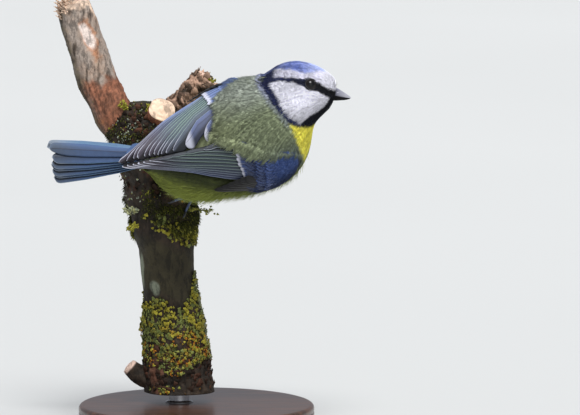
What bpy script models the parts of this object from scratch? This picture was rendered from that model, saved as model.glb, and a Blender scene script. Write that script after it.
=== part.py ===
"""A life-size blue tit clinging to a cut length of branch on a round display base.

All sizes are in millimetres and are turned into metres when a mesh is made.
The origin is the middle of the base's underside, +Z is up, the bird looks to +X
and its back leans towards -Y.
"""
import math

import bmesh
import bpy
import numpy as np

for old in list(bpy.data.objects):
    bpy.data.objects.remove(old, do_unlink=True)

MM = 0.001
GAP = 0.3

# Pose of body and head: heading, pitch and roll in degrees
BODY_CENTRE = (17.7, -22.0, 114.1)
BODY_POSE = (14.0, 12.5, 65.0)
HEAD_CENTRE = (41.3, -19.0, 131.8)
HEAD_POSE = (2.0, -9.0, 10.0)
BLEND = 1.6

# Rounded masses: forward, right, up of the centre, then the three half lengths
BODY_MASSES = [
    (0, 0, 0, 25, 21.5, 19.5),
    (9, 0, -2.0, 18, 19.5, 18.5),
    (-15, 1.5, -2.5, 22, 18.0, 15.5),
    (-33, -1.2, 2.4, 12, 6.5, 5.5),
    (16, -5, 5.5, 12.5, 14.0, 13.0),
]
HEAD_MASSES = [
    (-2.0, 0, 0.0, 13.0, 9.6, 11.3),
    (5.5, 0, 1.6, 8.3, 6.8, 7.0),
    (-3.5, 0, -5.0, 11.0, 9.8, 7.8),
]

# Where the trunk is parted into nodes, as steps along the spine
RUMP_END = 0.0
TORSO_START = 1.15
NECK_START = 4.15
HEAD_START = 5.35
RING = 28

# Wing sheet: least radius over the rump, as along, radius
BRIDGE = [(-56, 7.0), (-48, 8.2), (-38, 11.2), (-28, 14.8), (-18, 17.6), (-8, 19.4), (2, 20.0), (24, 12)]
VANE = 0.5
TIER = 0.85
STACK = 2.4
SHEET_SINK = 0.5
SLAB_TOP = 0.3
SLAB_BOTTOM = -(STACK * TIER + VANE)
POCKET_TOP = 9.0
POCKET_GAP = 0.45
LEFT_SHORT = 0.66

# Outer edges of the folded flight feathers in degrees from the back's midline
EDGE_AT = [-52, -48, -42, -36, -30, -24, -18, -12, -6]
LEFT_EDGES = [
    (3, -6, -24, -40, -53, -61, -66, -71, -76),
    (15, 6, -20, -37, -49.5, -57, -61.5, -69, -72.5),
    (24, 14, -13, -33, -45, -53, -57, -66, -69),
    (30, 22, 5, -17, -32.5, -44.5, -52.5, -62, -65),
    (36, 28, 15, -7, -27, -38, -47, -54, -58),
    (42, 34, 23, 7, -14, -29, -40.5, -48, -52),
    (48, 40, 30, 14, -7, -22.5, -35, -42.5, -46),
    (54, 46, 36, 22, 5, -15, -29.5, -37, -40),
    (60, 52, 42, 30, 14, -2, -21, -29, -32),
    (66, 58, 50, 40, 26, 12, -3, -17, -20),
]
LEFT_TIPS = [-50.5, -45.5, -43.5, -40.0, -37.2, -35.4, -33.4, -29.6, -24.6, -17.0]
RIGHT_EDGES = [
    (-27, -31, -35, -40.5, -45, -50, -57, -62.5, -66),
    (-16, -25, -32, -38, -42, -46.5, -52.5, -57, -61),
    (-10, -17, -27, -35, -40, -43.5, -47.5, -52, -56),
    (0, -8, -18, -25, -34.5, -39, -42, -45.5, -49),
    (10, 2, -8, -18, -25, -30.5, -35, -39.5, -44),
    (20, 12, 2, -10, -20, -25, -29, -34, -39),
    (30, 22, 12, 0, -12, -20, -23.5, -28, -33),
    (40, 32, 22, 10, -2, -12, -18.5, -22.5, -27),
]
RIGHT_TIPS = [-49.5, -46.5, -43.0, -39.0, -36.0, -31.5, -25.0, -18.0]
MIDLINE = 16.0

# Outline of the covert slab: along, inner and outer edge in degrees
SLAB_OUTLINE = [
    (-9, 13, 75), (-5, 18, 77), (0, 28, 87), (5, 36, 95), (10, 43, 96),
    (14, 48, 92), (17, 53, 85), (19, 60, 78), (20, 66, 73),
]

# Tail: root in the body's frame, tip in the room's, then fan of each side
TAIL_ROOT = (-36.3, -2.0, 3.5)
TAIL_TIP = (-54.4, -44.5, 108.7)
TAIL_TIER = 0.8
TAIL_AT = (0.0, 12.0, 42.0)

EYE_RADIUS = 2.5
EYE_DEPTH = 1.75

# Branch: height, middle and half width of the stem; y is the same all the way
STEM = [
    (12.2, -6.9, 13.8), (19, -8.0, 13.6), (25, -8.0, 12.9), (30, -8.2, 12.6), (36, -8.7, 12.3),
    (41, -9.0, 11.7), (47, -9.5, 10.4), (53, -10.5, 10.4), (59, -11.3, 10.3), (68, -11.8, 10.7),
    (75, -12.9, 12.4), (83, -13.0, 13.2), (88, -14.2, 13.4), (94, -14.3, 12.9), (100, -16.0, 14.2),
    (107, -17.6, 15.0), (114, -19.4, 15.6), (119, -20.2, 13.8), (123, -20.6, 10.5), (125.5, -20.6, 6.5),
]
STEM_Y = 5.0
STEM_DEPTH = 0.92

BASE_RADIUS = 46.0
BASE_HEIGHT = 8.0
ROD_RADIUS = 4.0


def pose_axes(heading, pitch, roll):
    """Rows: forward, right, up of a frame turned by heading, pitch and roll."""
    a, p, r = (math.radians(v) for v in (heading, pitch, roll))
    f = np.array([math.cos(a) * math.cos(p), math.sin(a) * math.cos(p), math.sin(p)])
    right = np.array([math.sin(a), -math.cos(a), 0.0])
    up = np.cross(right, f)
    return np.array([f, right * math.cos(r) - up * math.sin(r), up * math.cos(r) + right * math.sin(r)])


BODY = pose_axes(*BODY_POSE)
HEAD = pose_axes(*HEAD_POSE)
BODY_AT = np.array(BODY_CENTRE)
HEAD_AT = np.array(HEAD_CENTRE)


def from_body(q):
    return np.asarray(q, float) @ BODY + BODY_AT


def from_head(q):
    return np.asarray(q, float) @ HEAD + HEAD_AT


def masses():
    """Centre, axes and half lengths of every mass."""
    rows = [(from_body(m[:3]), BODY, np.array(m[3:], float)) for m in BODY_MASSES]
    rows += [(from_head(m[:3]), HEAD, np.array(m[3:], float)) for m in HEAD_MASSES]
    return rows


MASSES = masses()


def field(points):
    """Signed distance, near enough, to the smooth union of the masses."""
    rows = []
    for centre, axes, half in MASSES:
        q = (points - centre) @ axes.T
        k0 = np.sqrt(((q / half) ** 2).sum(-1)) + 1e-9
        k1 = np.sqrt(((q / half ** 2) ** 2).sum(-1)) + 1e-9
        rows.append(k0 * (k0 - 1) / k1)
    rows = np.array(rows)
    low = rows.min(0)
    return low - BLEND * np.log(np.exp(-(rows - low) / BLEND).sum(0))


def reach(origin, direction):
    """Distance from a point inside to the surface, by halving."""
    shape = np.broadcast(origin[..., 0], direction[..., 0]).shape
    near = np.zeros(shape)
    far = np.full(shape, 45.0)
    for _ in range(24):
        mid = (near + far) / 2
        inside = field(origin + direction * mid[..., None]) < 0
        near = np.where(inside, mid, near)
        far = np.where(inside, far, mid)
    return (near + far) / 2


def curve(rows, at):
    """Smooth curve through evenly stepped rows (Catmull-Rom)."""
    rows = np.asarray(rows, float)
    padded = np.vstack([2 * rows[0] - rows[1], rows, 2 * rows[-1] - rows[-2]])
    at = np.atleast_1d(np.asarray(at, float))
    i = np.clip(np.floor(at).astype(int), 0, len(rows) - 2)
    t = (at - i)[:, None]
    a, b, c, d = padded[i], padded[i + 1], padded[i + 2], padded[i + 3]
    return 0.5 * (2 * b + (c - a) * t + (2 * a - 5 * b + 4 * c - d) * t ** 2 + (3 * b - a - 3 * c + d) * t ** 3)


def spine_row(point, heading, pitch, roll):
    return [*point, heading, pitch, roll]


SPINE = [
    spine_row(from_body((-36.3, -1.6, 3.0)), *BODY_POSE),
    spine_row(from_body((-25, -0.4, 0.6)), *BODY_POSE),
    spine_row(from_body((-12, 0, 0)), *BODY_POSE),
    spine_row(from_body((1, -0.5, 0)), 14, 13.5, 65),
    spine_row((29.5, -20.5, 118.4), 12, 22, 58),
    spine_row((34.2, -20.0, 127.2), 8, 36, 42),
    spine_row((38.0, -19.6, 129.9), 5, 29, 30),
    spine_row((41.9, -19.2, 131.4), 4, 19, 20),
    spine_row((45.7, -19.0, 131.8), 3, 8, 13),
    spine_row((49.2, -18.9, 131.5), 2, -2, 10),
    spine_row((52.2, -18.8, 130.9), 2, -9, 10),
    spine_row((54.8, -18.7, 130.4), 2, -9, 10),
]


def ring(at, shift=0.0, turn=RING):
    """Outline of the trunk in the plane across the spine at one step."""
    row = curve(SPINE, at)[0]
    axes = pose_axes(*row[3:])
    centre = row[:3] + axes[0] * shift
    angle = np.arange(turn) * 2 * math.pi / turn
    direction = np.cos(angle)[:, None] * axes[2] + np.sin(angle)[:, None] * axes[1]
    return centre, centre + direction * reach(centre, direction)[:, None]


def loft(rings, start, end):
    """Closed mesh through rings of like count with a point at each end."""
    count = len(rings[0])
    verts = [np.asarray(start)[None]] + [np.asarray(r) for r in rings] + [np.asarray(end)[None]]
    faces = []
    for j in range(count):
        k = (j + 1) % count
        faces.append((0, 1 + k, 1 + j))
        last = 1 + (len(rings) - 1) * count
        faces.append((last + j, last + k, last + count))
        for i in range(len(rings) - 1):
            a = 1 + i * count
            faces.append((a + j, a + k, a + count + k))
            faces.append((a + j, a + count + k, a + count + j))
    return np.vstack(verts), faces


def slab(top, bottom):
    """Closed mesh between two like grids, triangles alike on both faces."""
    n, m = top.shape[:2]
    verts = np.vstack([top.reshape(-1, 3), bottom.reshape(-1, 3)])
    low = n * m
    faces = []
    for i in range(n - 1):
        for j in range(m - 1):
            a, b, c, d = i * m + j, (i + 1) * m + j, (i + 1) * m + j + 1, i * m + j + 1
            faces += [(a, b, c), (a, c, d), (low + a, low + c, low + b), (low + a, low + d, low + c)]
    rim = [i * m for i in range(n)] + [(n - 1) * m + j for j in range(1, m)]
    rim += [i * m + m - 1 for i in range(n - 2, -1, -1)] + [j for j in range(m - 2, 0, -1)]
    for i, a in enumerate(rim):
        b = rim[(i + 1) % len(rim)]
        faces += [(a, low + a, low + b), (a, low + b, b)]
    return verts, faces


def make(name, solid, colour=(0.5, 0.5, 0.5), rough=0.6, metal=0.0):
    """Object with its own material from a mesh in millimetres."""
    verts, faces = solid
    mesh = bpy.data.meshes.new(name)
    mesh.from_pydata((np.asarray(verts) * MM).tolist(), [], [tuple(int(i) for i in f) for f in faces])
    ob = bpy.data.objects.new(name, mesh)
    bpy.context.scene.collection.objects.link(ob)
    material = bpy.data.materials.new(name + "_mat")
    material.use_nodes = True
    shader = material.node_tree.nodes["Principled BSDF"]
    shader.inputs["Base Color"].default_value = (*colour, 1.0)
    shader.inputs["Roughness"].default_value = rough
    shader.inputs["Metallic"].default_value = metal
    material.diffuse_color = (*colour, 1.0)
    mesh.materials.append(material)
    clean(ob, 0.0)
    return ob


def clean(ob, merge=0.002):
    """Weld, face outwards, split into triangles and keep the largest closed body."""
    bm = bmesh.new()
    bm.from_mesh(ob.data)
    if merge:
        bmesh.ops.remove_doubles(bm, verts=bm.verts, dist=merge * MM)
        bmesh.ops.dissolve_limit(bm, angle_limit=0.004, verts=bm.verts, edges=bm.edges)
        bmesh.ops.dissolve_degenerate(bm, edges=bm.edges, dist=merge * MM)
    bmesh.ops.triangulate(bm, faces=bm.faces)
    bmesh.ops.delete(bm, geom=[e for e in bm.edges if not e.link_faces], context="EDGES")
    left = set(bm.verts)
    groups = []
    while left:
        todo = [left.pop()]
        group = set(todo)
        while todo:
            for edge in todo.pop().link_edges:
                for v in edge.verts:
                    if v in left:
                        left.discard(v)
                        group.add(v)
                        todo.append(v)
        groups.append(group)
    if len(groups) > 1:
        groups.sort(key=len)
        spare = [v for g in groups[:-1] for v in g]
        bmesh.ops.delete(bm, geom=spare, context="VERTS")
    bmesh.ops.recalc_face_normals(bm, faces=bm.faces)
    bm.to_mesh(ob.data)
    bm.free()
    for face in ob.data.polygons:
        face.use_smooth = False
        face.material_index = 0


def combine(ob, others, operation):
    """Union with or cut by a collection of helpers, which are then removed."""
    group = bpy.data.collections.new(ob.name + "_group")
    for other in others:
        other.hide_render = True
        other.display_type = "WIRE"
        group.objects.link(other)
    step = ob.modifiers.new("step", "BOOLEAN")
    step.operation = operation
    step.operand_type = "COLLECTION"
    step.collection = group
    step.solver = "EXACT"
    graph = bpy.context.evaluated_depsgraph_get()
    result = bpy.data.meshes.new_from_object(ob.evaluated_get(graph))
    ob.modifiers.clear()
    keep = ob.data.materials[0]
    ob.data = result
    ob.data.materials.clear()
    ob.data.materials.append(keep)
    for other in others:
        bpy.data.objects.remove(other, do_unlink=True)
    bpy.data.collections.remove(group)
    clean(ob)


def tube(path, radius, across, turn=12, bump=None):
    """Rings along a path; radius is one number or (right, other) per station."""
    path = np.asarray(path, float)
    along = np.gradient(path, axis=0)
    along /= np.linalg.norm(along, axis=1)[:, None]
    rings = []
    angle = np.arange(turn) * 2 * math.pi / turn
    for i, (p, t) in enumerate(zip(path, along)):
        e1 = np.asarray(across, float) - t * np.dot(across, t)
        e1 /= np.linalg.norm(e1)
        e2 = np.cross(t, e1)
        r = np.broadcast_to(np.asarray(radius[i], float), (2,))
        grow = 1.0 if bump is None else bump(angle, i)[:, None]
        rings.append(p + grow * (np.cos(angle)[:, None] * e1 * r[0] + np.sin(angle)[:, None] * e2 * r[1]))
    return loft(rings, path[0], path[-1])


def ball(centre, radius, turn=16):
    """Sphere of rings."""
    polar = np.arange(1, turn // 2) * math.pi / (turn // 2)
    angle = np.arange(turn) * 2 * math.pi / turn
    rings = []
    for p in polar:
        flat = np.stack([np.cos(angle) * math.sin(p), np.sin(angle) * math.sin(p)], 1)
        rings.append(np.column_stack([flat, np.full(turn, math.cos(p))]) * radius + centre)
    up = np.array([0, 0, radius])
    return loft(rings, centre + up, centre - up)


# Wing sheet: a tube about the body's axis, in steps along and degrees from the back


def axis_point(s):
    s = np.asarray(s, float)
    lift = np.where(s < -20, (-20 - s) ** 2 * 0.0045, 0.0)
    return np.stack([s, np.zeros_like(s), lift], -1)


def sheet(s, degrees, h):
    """Point of the wing sheet; h is the height over the flight feathers' tops."""
    s, degrees, h = np.broadcast_arrays(np.asarray(s, float), np.asarray(degrees, float), h)
    angle = np.radians(degrees)
    direction = np.sin(angle)[..., None] * BODY[1] + np.cos(angle)[..., None] * BODY[2]
    origin = from_body(axis_point(s))
    body = reach(origin, direction) + 0.35
    body = np.where(field(origin) < 0, body, 0.0)
    bridge = np.interp(s, [b[0] for b in BRIDGE], [b[1] for b in BRIDGE])
    top = np.maximum(body, bridge)
    radius = top + 0.8 * np.log(np.exp((body - top) / 0.8) + np.exp((bridge - top) / 0.8))
    return origin + direction * (radius - SHEET_SINK + h)[..., None]


class Wing:
    """Feather edges of one side; degrees count up from outer edge to midline."""

    def __init__(self, side):
        self.side = side
        self.name = "left" if side < 0 else "right"
        edges = LEFT_EDGES if side < 0 else RIGHT_EDGES
        self.tips = LEFT_TIPS if side < 0 else RIGHT_TIPS
        self.edges = np.array(edges, float)
        extra = [self.edges[-1] + 11 * (i + 1) for i in range(3)]
        self.edges = np.vstack([self.edges, extra])
        self.limit = MIDLINE if side < 0 else -MIDLINE

    def lines(self, s):
        return np.array([np.interp(s, EDGE_AT, e) for e in self.edges])

    def inner(self, s):
        """Innermost angle that flight feathers may reach."""
        rear = self.limit if s < -14 else min(self.limit, 9.0)
        slab_edge = -SLAB_OUTLINE[0][1]
        return rear + (slab_edge - rear) * min(max((s + 16) / 7.0, 0.0), 1.0)

    def forward(self, s):
        """The left wing's bend lies further back, because the head turns that way."""
        s = np.asarray(s, float)
        return np.where((s > 0) & (self.side < 0), LEFT_SHORT * s, s)

    def place(self, s, degrees, h):
        turned = np.asarray(degrees, float) * (1 if self.side < 0 else -1)
        return sheet(s, turned, h)

    def feather(self, index):
        """Flight feather: one leaf of the stack, laid in depth by its index."""
        tip = self.tips[index]
        stations = [(s, 1.0, VANE) for s in (-6, -12, -24, -36) if s > tip + 4.5]
        stations += [(tip + 3.2, 1.0, VANE), (tip + 1.1, 0.76, VANE), (tip, 0.25, 0.35)]
        top = []
        bottom = []
        for s, grow, thick in stations:
            lines = self.lines(s)
            outer = lines[index]
            edge = np.interp(index + STACK, np.arange(len(lines)), lines)
            radius = np.interp(s, [b[0] for b in BRIDGE], [b[1] for b in BRIDGE])
            widest = math.degrees(7.0 / radius)
            inner = min(edge, self.inner(s), outer + widest)
            outer = min(outer, inner - 6.0)
            shaft = outer + (inner - outer) * 0.4
            degrees = np.array([outer, shaft, inner])
            degrees = shaft + (degrees - shaft) * grow
            level = np.interp(degrees, lines, np.arange(len(lines))) - index
            h = -np.clip(level, -1, STACK) * TIER
            top.append(self.place(s, degrees, h))
            bottom.append(self.place(s, degrees, h - thick))
        return slab(np.array(top), np.array(bottom))

    def across(self, s, index):
        """Angle at a step between the slab's edges, or on the feather lines behind it."""
        if s < -6:
            lines = self.lines(s)
            return float(np.interp(index, np.arange(len(lines)), lines))
        rows = np.array(SLAB_OUTLINE, float)
        inner = np.interp(s, rows[:, 0], rows[:, 1]) + 2.0
        outer = np.interp(s, rows[:, 0], rows[:, 2]) - 1.5
        share = min(max(index / (len(self.tips) - 1), 0.0), 1.0)
        return -float(outer + (inner - outer) * share)

    def covert(self, index, width, root, tip, rise, drop=(1.2, 1.2, 1.2)):
        """Short feather on the slab, its root sunk and its tip standing up."""
        top = []
        bottom = []
        for t, grow, deep in ((0, 0.8, drop[0]), (0.7, 1.0, drop[1]), (1.0, 0.4, drop[2])):
            s = root + (tip - root) * t
            low, high = self.across(s, index), self.across(s, index + width)
            degrees = (low + high) / 2 + 0.5 * (high - low) * grow * np.array([-1, 0, 1])
            height = SLAB_TOP + rise * t + np.array([0.16, 0.08, -0.2])
            top.append(self.place(self.forward(s), degrees, height))
            bottom.append(self.place(self.forward(s), degrees, height - deep))
        return slab(np.array(top), np.array(bottom))

    def plate(self, grow, low, high):
        """Covert slab, or the pocket for it when grown."""
        rows = np.array(SLAB_OUTLINE, float)
        along = self.forward(rows[:, 0])
        along[0] -= grow
        along[-1] += grow
        top = []
        bottom = []
        for s, row in zip(along, rows):
            ease = math.degrees(grow / 18.0)
            degrees = -np.linspace(row[2] + ease, row[1] - ease, 6)
            top.append(self.place(s, degrees, high))
            bottom.append(self.place(s, degrees, low))
        return slab(np.array(top), np.array(bottom))

    def pocket(self):
        """Room for the flight feathers in the trunk."""
        top = []
        bottom = []
        for s in (-46, -36, -24, -12, -6):
            lines = self.lines(s)
            degrees = np.linspace(lines[0] - 2.0, self.inner(s) + (5.0 if s > -20 else 2.0), 7)
            top.append(self.place(s, degrees, POCKET_TOP))
            bottom.append(self.place(s, degrees, SLAB_BOTTOM - POCKET_GAP))
        return slab(np.array(top), np.array(bottom))


def build_wing(side, colour):
    """Folded wing: stacked flight feathers behind a slab with rows of coverts."""
    wing = Wing(side)
    name = "wing_" + wing.name
    ob = make(name, wing.plate(0.0, SLAB_BOTTOM, SLAB_TOP), colour, 0.6)
    parts = [wing.feather(i) for i in range(len(wing.tips))]
    count = len(wing.tips)
    bar = -11.2 if side < 0 else -6.5
    for i in range(count - 1):
        end = bar - (0.5 if side < 0 else 0.35 * (count - 2 - i))
        parts.append(wing.covert(i + 0.1, 1.13, -2.0, end, 0.6, (1.2, 0.6, 0.5)))
    for i in range(6):
        step = (count - 1) / 6
        parts.append(wing.covert(i * step + 0.45, step * 1.12, 5.0, -4.5, 0.45))
        parts.append(wing.covert(i * step + 0.1, step * 1.12, 12.0, 2.5, 0.4))
    helpers = [make(name + "_h%02d" % i, p) for i, p in enumerate(parts)]
    combine(ob, helpers, "UNION")
    return wing


def trunk_nodes(wings):
    """Rump, torso, neck and head as slices with flat faces GAP apart."""
    plan = [
        ("rump", RUMP_END, TORSO_START, (0.33, 0.36, 0.12)),
        ("torso", TORSO_START, NECK_START, (0.36, 0.38, 0.13)),
        ("neck", NECK_START, HEAD_START, (0.40, 0.42, 0.16)),
    ]
    nodes = {}
    for name, start, end, colour in plan:
        steps = np.linspace(start, end, 2 + int(round((end - start) * 3.6)))[1:-1]
        first = ring(start, GAP / 2)
        last = ring(end, -GAP / 2)
        rings = [first[1]] + [ring(q)[1] for q in steps] + [last[1]]
        nodes[name] = make(name, loft(rings, first[0], last[0]), colour, 0.85)
    first = ring(HEAD_START, GAP / 2)
    steps = [5.8, 6.2, 6.6, 7.0, 7.4, 7.8, 8.2, 8.6, 9.0, 9.4, 9.75, 10.0]
    rings = [first[1]] + [ring(q)[1] for q in steps]
    row = curve(SPINE, 10.0)[0]
    nose = row[:3] + HEAD[0] * float(reach(row[:3], HEAD[0]))
    nodes["head"] = make("head", loft(rings, first[0], nose), (0.60, 0.64, 0.72), 0.8)
    for name in ("rump", "torso", "neck"):
        cutters = []
        for wing in wings:
            cutters.append(make("cut_a_" + wing.name, wing.pocket()))
            cutters.append(make("cut_b_" + wing.name, wing.plate(0.5, SLAB_BOTTOM - POCKET_GAP, POCKET_TOP)))
        combine(nodes[name], cutters, "DIFFERENCE")
    return nodes


# Bill: along the head's axis, half width, top of the upper and foot of the lower half
BILL = [
    (10.4, 1.9, 3.45, -1.60), (12.2, 1.9, 3.5, -1.65), (13.4, 1.75, 3.2, -1.5), (14.8, 1.4, 2.6, -1.2),
    (16.2, 1.0, 1.9, -0.8), (17.4, 0.6, 1.2, -0.35), (18.4, 0.22, 0.62, -0.05),
]
MOUTH = [(10.4, 0.75), (13.4, 0.65), (16.2, 0.45), (18.4, 0.28)]


def bill_half(upper, grow=0.0):
    """Rounded keel over (or under) the flat line of the mouth."""
    rings = []
    mids = []
    rows = BILL if upper else BILL[:-1] + [(17.9, 0.2, 0.0, -0.1)]
    for x, half, high, low in rows:
        line = np.interp(x, [m[0] for m in MOUTH], [m[1] for m in MOUTH])
        base = line + (GAP / 2 if upper else -GAP / 2) - (grow if upper else -grow)
        far = (high + grow) if upper else (low - grow)
        half = half + grow
        shape = [(-1, 0), (-0.93, 0.34), (-0.7, 0.7), (-0.3, 0.95), (0.3, 0.95), (0.7, 0.7), (0.93, 0.34), (1, 0)]
        pts = [(x, half * a, base + (far - base) * b) for a, b in shape]
        rings.append(from_head(pts))
        mids.append(from_head((x, 0, (base * 0.5 + far * 0.5))))
    return loft(rings, mids[0], mids[-1])


def eye_frame(side):
    """Middle of the eyeball and the way it looks."""
    start = from_head((2.4, 0, 3.0))
    way = from_head((2.4, side * 8.2, 5.4)) - start
    way /= np.linalg.norm(way)
    top = start + way * float(reach(start, way))
    step = 0.05
    slope = np.array([field(top + e * step) - field(top - e * step) for e in np.eye(3)])
    slope /= np.linalg.norm(slope)
    return top - slope * EYE_DEPTH, slope


def lids(centre, out):
    """Rim of the lids round the eye: thick above, thin below."""
    up = HEAD[2] - out * np.dot(HEAD[2], out)
    up /= np.linalg.norm(up)
    side = np.cross(up, out)
    rings = []
    count = 20
    for i in range(count):
        a = i * 2 * math.pi / count
        way = math.cos(a) * side + math.sin(a) * up
        tube_r = 0.36 + 0.06 * math.sin(a)
        wide = 2.5 + 0.12 * abs(math.cos(a)) - 0.02 * math.sin(a)
        mid = centre + out * (EYE_DEPTH + 0.2) + way * wide
        turn = np.arange(6) * math.pi / 3
        rings.append(mid + tube_r * (np.cos(turn)[:, None] * way + np.sin(turn)[:, None] * out))
    verts = np.vstack(rings)
    faces = []
    for i in range(count):
        for j in range(6):
            a, b = i * 6 + j, i * 6 + (j + 1) % 6
            c, d = ((i + 1) % count) * 6 + (j + 1) % 6, ((i + 1) % count) * 6 + j
            faces += [(a, b, c), (a, c, d)]
    return verts, faces


def build_head(head):
    """Eyes in sockets with lids, bill in its socket, nostrils."""
    rims = []
    holes = []
    for side, name in ((1, "right"), (-1, "left")):
        centre, out = eye_frame(side)
        make("eye_" + name, ball(centre, EYE_RADIUS, 20), (0.01, 0.01, 0.012), 0.1)
        rims.append(make("rim_" + name, lids(centre, out)))
        holes.append(make("hole_" + name, ball(centre, EYE_RADIUS + GAP, 18)))
    combine(head, rims, "UNION")
    holes.append(make("hole_upper", bill_half(True, GAP)))
    holes.append(make("hole_lower", bill_half(False, GAP)))
    combine(head, holes, "DIFFERENCE")
    upper = make("beak_upper", bill_half(True), (0.42, 0.43, 0.50), 0.35)
    make("beak_lower", bill_half(False), (0.03, 0.03, 0.035), 0.4)
    pits = []
    for side in (-1, 1):
        mid = from_head((13.3, side * 1.55, 2.35))
        way = HEAD[1] * side
        path = [mid - way * 0.35, mid + way * 0.9]
        pits.append(make("pit", tube(path, [0.26, 0.32], HEAD[0], 8)))
    combine(upper, pits, "DIFFERENCE")


def build_tail():
    """Six feathers a side in tiers on a soft core, with coverts over and under."""
    root = from_body(TAIL_ROOT)
    back = np.array(TAIL_TIP) - root
    length = float(np.linalg.norm(back))
    back /= length
    right = BODY[1] - back * np.dot(BODY[1], back)
    right /= np.linalg.norm(right)
    up = np.cross(right, -back)

    def put(d, v, h):
        return root + back * d + right * v + up * h

    core = []
    for d, wide, high in ((0.0, 4.6, 4.3), (3.0, 5.0, 4.0), (6.5, 4.8, 3.6), (9.5, 3.4, 3.0)):
        angle = np.arange(16) * math.pi / 8
        core.append(np.array([put(d, wide * math.cos(a), -2.4 + high * math.sin(a)) for a in angle]))
    tail = make("tail", loft(core, put(0, 0, -2.4), put(9.5, 0, -2.4)), (0.16, 0.24, 0.45), 0.5)
    helpers = []
    for i in range(6):
        for side in (-1, 1):
            level = i * 0.98 if side < 0 else i + 1
            if side < 0:
                middle = (-0.5 - 0.4 * i, -0.9 - 0.6 * i, -4.1 - 0.45 * i)
            else:
                middle = (0.5 + 0.4 * i, 0.9 + 0.6 * i, -0.65 + 1.5 * i)
            tip = length - 0.35 * i - (1.0 if i == 0 and side < 0 else 0.0)
            top = []
            bottom = []
            for d, grow, thick in ((2, 0.4, VANE), (12, 0.75, VANE), (25, 0.95, VANE), (tip - 3.0, 1.0, VANE),
                                   (tip - 0.9, 0.76, VANE), (tip, 0.25, 0.35)):
                mid = np.interp(d, TAIL_AT, middle)
                inner = 2.7 if i == 0 or side > 0 else 0.8
                if i == 0 and side > 0 and d < 20:
                    inner = 1.7
                outer = 2.7
                v = mid + grow * np.array([-outer, 0, inner] if side < 0 else [-inner, 0, outer])
                h = -TAIL_TIER * level - np.array([0.08, 0, 0.08])
                top.append([put(d, a, b) for a, b in zip(v, h)])
                bottom.append([put(d, a, b - thick) for a, b in zip(v, h)])
            helpers.append(make("tail_h%d_%d" % (i, side + 1), slab(np.array(top), np.array(bottom))))
    for i, (v, w) in enumerate(((-3.0, 3.0), (0.2, 3.4), (3.2, 3.0))):
        for h, tip in ((1.1, 15.5), (-6.2, 19.0)):
            top = []
            bottom = []
            for d, grow in ((3, 0.8), (8, 1.0), (tip - 2.5, 0.85), (tip, 0.3)):
                x = v + 0.45 * w * grow * np.array([-1, 0, 1])
                top.append([put(d, a, h) for a in x])
                bottom.append([put(d, a, h - 0.6) for a in x])
            helpers.append(make("cover_h%d" % i, slab(np.array(top), np.array(bottom))))
    combine(tail, helpers, "UNION")
    far = curve(SPINE, RUMP_END)[0]
    axes = pose_axes(*far[3:])
    middle = far[:3] - axes[0] * (GAP / 2)
    block = []
    for shift in (0.0, 30.0):
        corners = ((-30, -30), (30, -30), (30, 30), (-30, 30))
        block.append(np.array([middle + axes[0] * shift + axes[1] * a + axes[2] * b for a, b in corners]))
    cutter = make("tail_trim", loft(block, middle, middle + axes[0] * 30))
    combine(tail, [cutter], "DIFFERENCE")


# Branch and feet


def stem_row(z):
    rows = np.array(STEM)
    x = np.interp(z, rows[:, 0], rows[:, 1])
    r = np.interp(z, rows[:, 0], rows[:, 2])
    return x, r


def stem_bump(angle, z):
    """Low knobs of the bark as a factor of the radius."""
    return 1 + 0.022 * np.sin(3 * angle + z * 0.11) + 0.016 * np.sin(5 * angle - z * 0.23 + 1.0)


def stem_point(angle, z, off=0.0):
    """Point on the stem; angle from +X towards -Y in radians."""
    x, r = stem_row(z)
    grow = r * stem_bump(angle, z) + off
    y_grow = r * STEM_DEPTH * stem_bump(angle, z) + off
    return np.array([x + grow * math.cos(angle), STEM_Y - y_grow * math.sin(angle), z])


def stem_solid(off=0.0):
    """The stem, or the room it needs when grown."""
    rings = []
    for z, _, _ in STEM:
        high = z + (off if z > 124 else 0) - (off if z < 13 else 0)
        rings.append([stem_point(a, z, off) + (0, 0, high - z) for a in np.arange(24) * math.pi / 12])
    rings = [np.array(r) for r in rings]
    low = np.array([STEM[0][1], STEM_Y, rings[0][0][2]])
    top = np.array([STEM[-1][1], STEM_Y, rings[-1][0][2] + 0.8])
    return loft(rings, low, top)


def limb(name, path, radius, colour, turn=14, phase=0.0):
    """Knobbly round limb, cut back from the stem."""
    def bump(angle, i):
        return 1 + 0.05 * np.sin(2 * angle + i * 0.9 + phase) + 0.035 * np.sin(4 * angle - i * 1.3 + phase)

    ob = make(name, tube(path, radius, (0, -1, 0), turn, bump), colour, 0.9)
    combine(ob, [make(name + "_cut", stem_solid(GAP))], "DIFFERENCE")


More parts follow.
